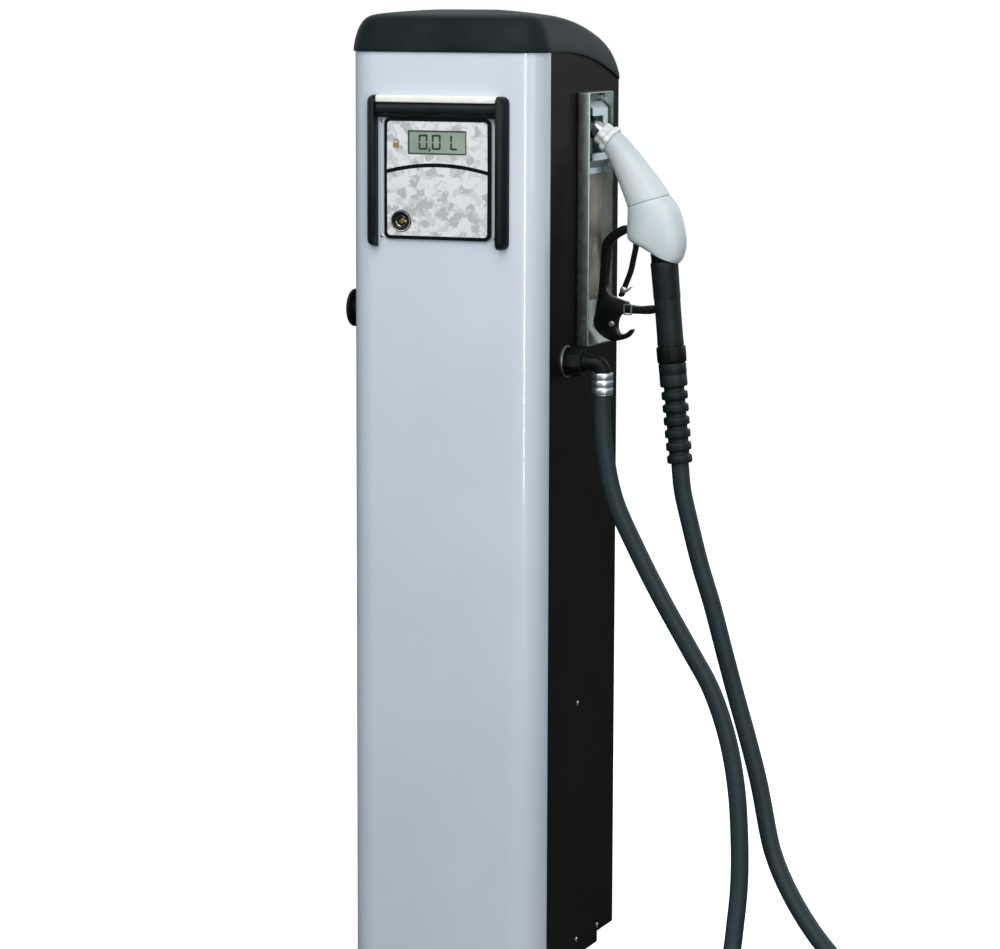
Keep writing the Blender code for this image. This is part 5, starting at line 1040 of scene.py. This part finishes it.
# Matt black rubber with a skin of 1 mm.
soft_grip = clouded("moulded_grip_rubber", "#0F1718", "#0C1415", "#141D1E", 80.0, 0.50, Specular_IOR_Level=0.2,
                    grain=(1000.0, 0.3, 0.0003))
grip = [(0.0153, 0.1220), (0.0184, 0.1220), (0.0194, 0.1212), (0.0196, 0.1200), (0.0192, 0.1100), (0.0191, 0.0800),
        (0.0194, 0.0400), (0.0201, 0.0100), (0.0204, 0.0030), (0.0203, 0.0010), (0.0196, 0.0), (0.0153, 0.0)]
piece("grip_sleeve", turned(grip, HANDLE_TOP + HANDLE_WAY * 0.006, HANDLE_WAY, 64, ring=True), soft_grip, "nozzle",
      ("nozzle_grip",), 50)
tilt = Vector((0, 0, 1)).rotation_difference(HANDLE_WAY).to_euler()
grown("grip_ribs", [HANDLE_TOP + HANDLE_WAY * (0.011 + 0.0026 * k) for k in range(19)], ring_tree(),
      {"Ring Radius": 0.0198, "Rib Radius": 0.0007, "Turn": tuple(tilt), "Finish": soft_grip}, "nozzle")
collar = [(0.0153, 0.0165), (0.0186, 0.0165), (0.0189, 0.0160), (0.0189, 0.0004), (0.0186, 0.0), (0.0153, 0.0)]
piece("handle_collar", turned(collar, HANDLE_TOP - HANDLE_WAY * 0.0100, HANDLE_WAY, 64, ring=True), nylon, "nozzle",
      ())
union = [(0.0153, 0.0240), (0.0196, 0.0240), (0.0210, 0.0232), (0.0215, 0.0216), (0.0215, 0.0028), (0.0210, 0.0010),
         (0.0198, 0.0), (0.0153, 0.0)]
piece("swivel_union", turned(union, HANDLE_TOP + HANDLE_WAY * 0.1285, HANDLE_WAY, 144, ring=True, lobes=24,
                             depth=0.008), nylon, "nozzle", ("swivel_ring",), 50)
length, sleeve_end, ribs = 0.1472, 0.035, 6
pitch_of = (length - sleeve_end) / ribs
guard_profile = [(0.0133, length)]
for k in range(ribs):
    top, rib = length - k * pitch_of, 0.0186 + 0.0008 * k / (ribs - 1)
    guard_profile += [(rib - 0.0018, top), (rib - 0.0005, top - 0.0006), (rib, top - 0.0020),
                      (rib, top - pitch_of * 0.50), (rib - 0.0004, top - pitch_of * 0.57),
                      (rib - 0.0016, top - pitch_of * 0.62), (0.0153, top - pitch_of * 0.66),
                      (0.0150, top - pitch_of * 0.74), (0.0151, top - pitch_of * 0.92),
                      (0.0156, top - pitch_of + 0.0004)]
guard_profile += [(0.0185, sleeve_end), (0.0200, sleeve_end - 0.0012), (0.0203, sleeve_end - 0.0035),
                  (0.0203, 0.0190), (0.0199, 0.0182), (0.0199, 0.0168), (0.0203, 0.0160), (0.0203, 0.0030),
                  (0.0198, 0.0008), (0.0186, 0.0), (0.0133, 0.0)]
piece("bend_guard", turned(guard_profile, HANDLE_TOP + HANDLE_WAY * 0.1528, HANDLE_WAY, 64, ring=True), soft_grip,
      "hose_end", ("bend_protector",), 40)

# Smoother black nylon of the guard and trigger.
glossy_nylon = clouded("glossy_black_nylon", "#090B0C", "#070909", "#0D1010", 60.0, 0.30, Specular_IOR_Level=0.12,
                       grain=(350.0, 0.12, 0.0003))


def smoothed(outline, spacing=0.0025):
    """A closed flat outline run through by a smooth curve."""
    points = [Vector((u, v, 0)) for u, v in outline]
    padded = [points[-1], *points, points[0], points[1]]
    path = []
    for a, b, c, d in zip(padded, padded[1:], padded[2:], padded[3:]):
        count = max(1, round((c - b).length / spacing))
        places = [between(a, b, c, d, step / count) for step in range(count)]
        path += [(p.x, p.y) for p in places]
    return path


guard = [(0.2085, 1.0965), (0.1960, 1.0915), (0.1830, 1.0820), (0.1745, 1.0700), (0.1722, 1.0450), (0.1688, 1.0000),
         (0.1640, 0.9680), (0.1612, 0.9550), (0.1640, 0.9440), (0.1740, 0.9340), (0.1850, 0.9285), (0.1960, 0.9272),
         (0.2080, 0.9296), (0.2170, 0.9350), (0.2225, 0.9440), (0.2195, 0.9452), (0.2120, 0.9392), (0.2040, 0.9365),
         (0.1990, 0.9400), (0.1970, 0.9500), (0.2000, 0.9620), (0.2080, 0.9680), (0.2250, 0.9680), (0.2549, 0.9695),
         (0.2539, 0.9805), (0.2300, 0.9790), (0.2080, 0.9825), (0.1920, 0.9895), (0.1830, 0.9985), (0.1808, 1.0120),
         (0.1838, 1.0450), (0.1860, 1.0640), (0.1960, 1.0770), (0.2085, 1.0850)]
piece("guard_bow", spun(smoothed(guard), "XZ", NOZZLE_Y - 0.0070, NOZZLE_Y + 0.0070, 0.0014, (), 3), glossy_nylon,
      "nozzle", ("trigger_guard",), 40)
staple = round_rect(0.2090, 0.9658, 0.2222, 0.9822, 0.0015, 4)
opening = round_rect(0.2108, 0.9676, 0.2204, 0.9804, 0.0008, 4)
piece("guard_clip", spun(staple, "XZ", NOZZLE_Y - 0.0086, NOZZLE_Y - 0.0068, 0.0003, (opening,), 1), stainless,
      "nozzle", ())
rack = [(0.1790, 0.9945), (0.1900, 0.9915), (0.2040, 0.9868), (0.2140, 0.9838), (0.2120, 0.9805), (0.2030, 0.9800),
        (0.1920, 0.9840), (0.1840, 0.9900)]
piece("hold_open_rack", spun(smoothed(rack, 0.002), "XZ", NOZZLE_Y - 0.0064, NOZZLE_Y + 0.0064, 0.0008),
      glossy_nylon, "nozzle", ())
heads = {"Head Radius": 0.0042, "Head Height": 0.0012, "Recess Radius": 0.0009, "Finish": zinc,
         "Recess Painted Shade": recess_black, "Turn": (quarter, 0, 0)}
grown("guard_rivet", [(0.1900, NOZZLE_Y - 0.0069, 0.9520)], screws, heads, "nozzle")

PIVOT_X, PIVOT_Z = 0.2275, 1.0800
spine = smooth_path([(PIVOT_X, 0, PIVOT_Z), (0.2240, 0, 1.0620), (0.2210, 0, 1.0480), (0.2170, 0, 1.0300),
                     (0.2100, 0, 1.0120), (0.2020, 0, 0.9925)], 0.004)
left, right = [], []
for k, at in enumerate(spine):
    ahead = (spine[min(k + 1, len(spine) - 1)] - spine[max(k - 1, 0)]).normalized()
    side = Vector((-ahead.z, 0, ahead.x)) * (0.0026 + 0.0026 * max(0.0, 1 - k / 4))
    left.append((at.x + side.x, at.z + side.z))
    right.append((at.x - side.x, at.z - side.z))
crown = [(PIVOT_X + 0.0052 * math.cos(math.radians(a)), PIVOT_Z + 0.0052 * math.sin(math.radians(a)))
         for a in range(165, 5, -20)]
piece("trigger_lever", spun([*left[2:], *reversed(right[2:]), *crown], "XZ", NOZZLE_Y - 0.0068, NOZZLE_Y + 0.0068,
                            0.0009, (), 2), glossy_nylon, "trigger", ("trigger",), 40)
pin = [(0.0, 0.0206), (0.0019, 0.0206), (0.0025, 0.0200), (0.0025, 0.0006), (0.0019, 0.0), (0.0, 0.0)]
piece("pivot_pin", turned(pin, (PIVOT_X, NOZZLE_Y + 0.0103, PIVOT_Z), (0, -1, 0), 32), stainless, "nozzle",
      ("trigger_pin",))
claw = [(-0.0022, -0.0045), (0.0045, -0.0052), (0.0100, -0.0020), (0.0165, 0.0042), (0.0150, 0.0050),
        (0.0085, 0.0012), (0.0050, 0.0030), (-0.0012, 0.0032)]
piece("latch_claw", spun(smoothed([(0.2065 + u, 1.0035 + v) for u, v in claw], 0.0012), "XZ", NOZZLE_Y - 0.0106,
                         NOZZLE_Y - 0.0071, 0.0004), stainless, "latch", ("hold_open_latch",), 40)
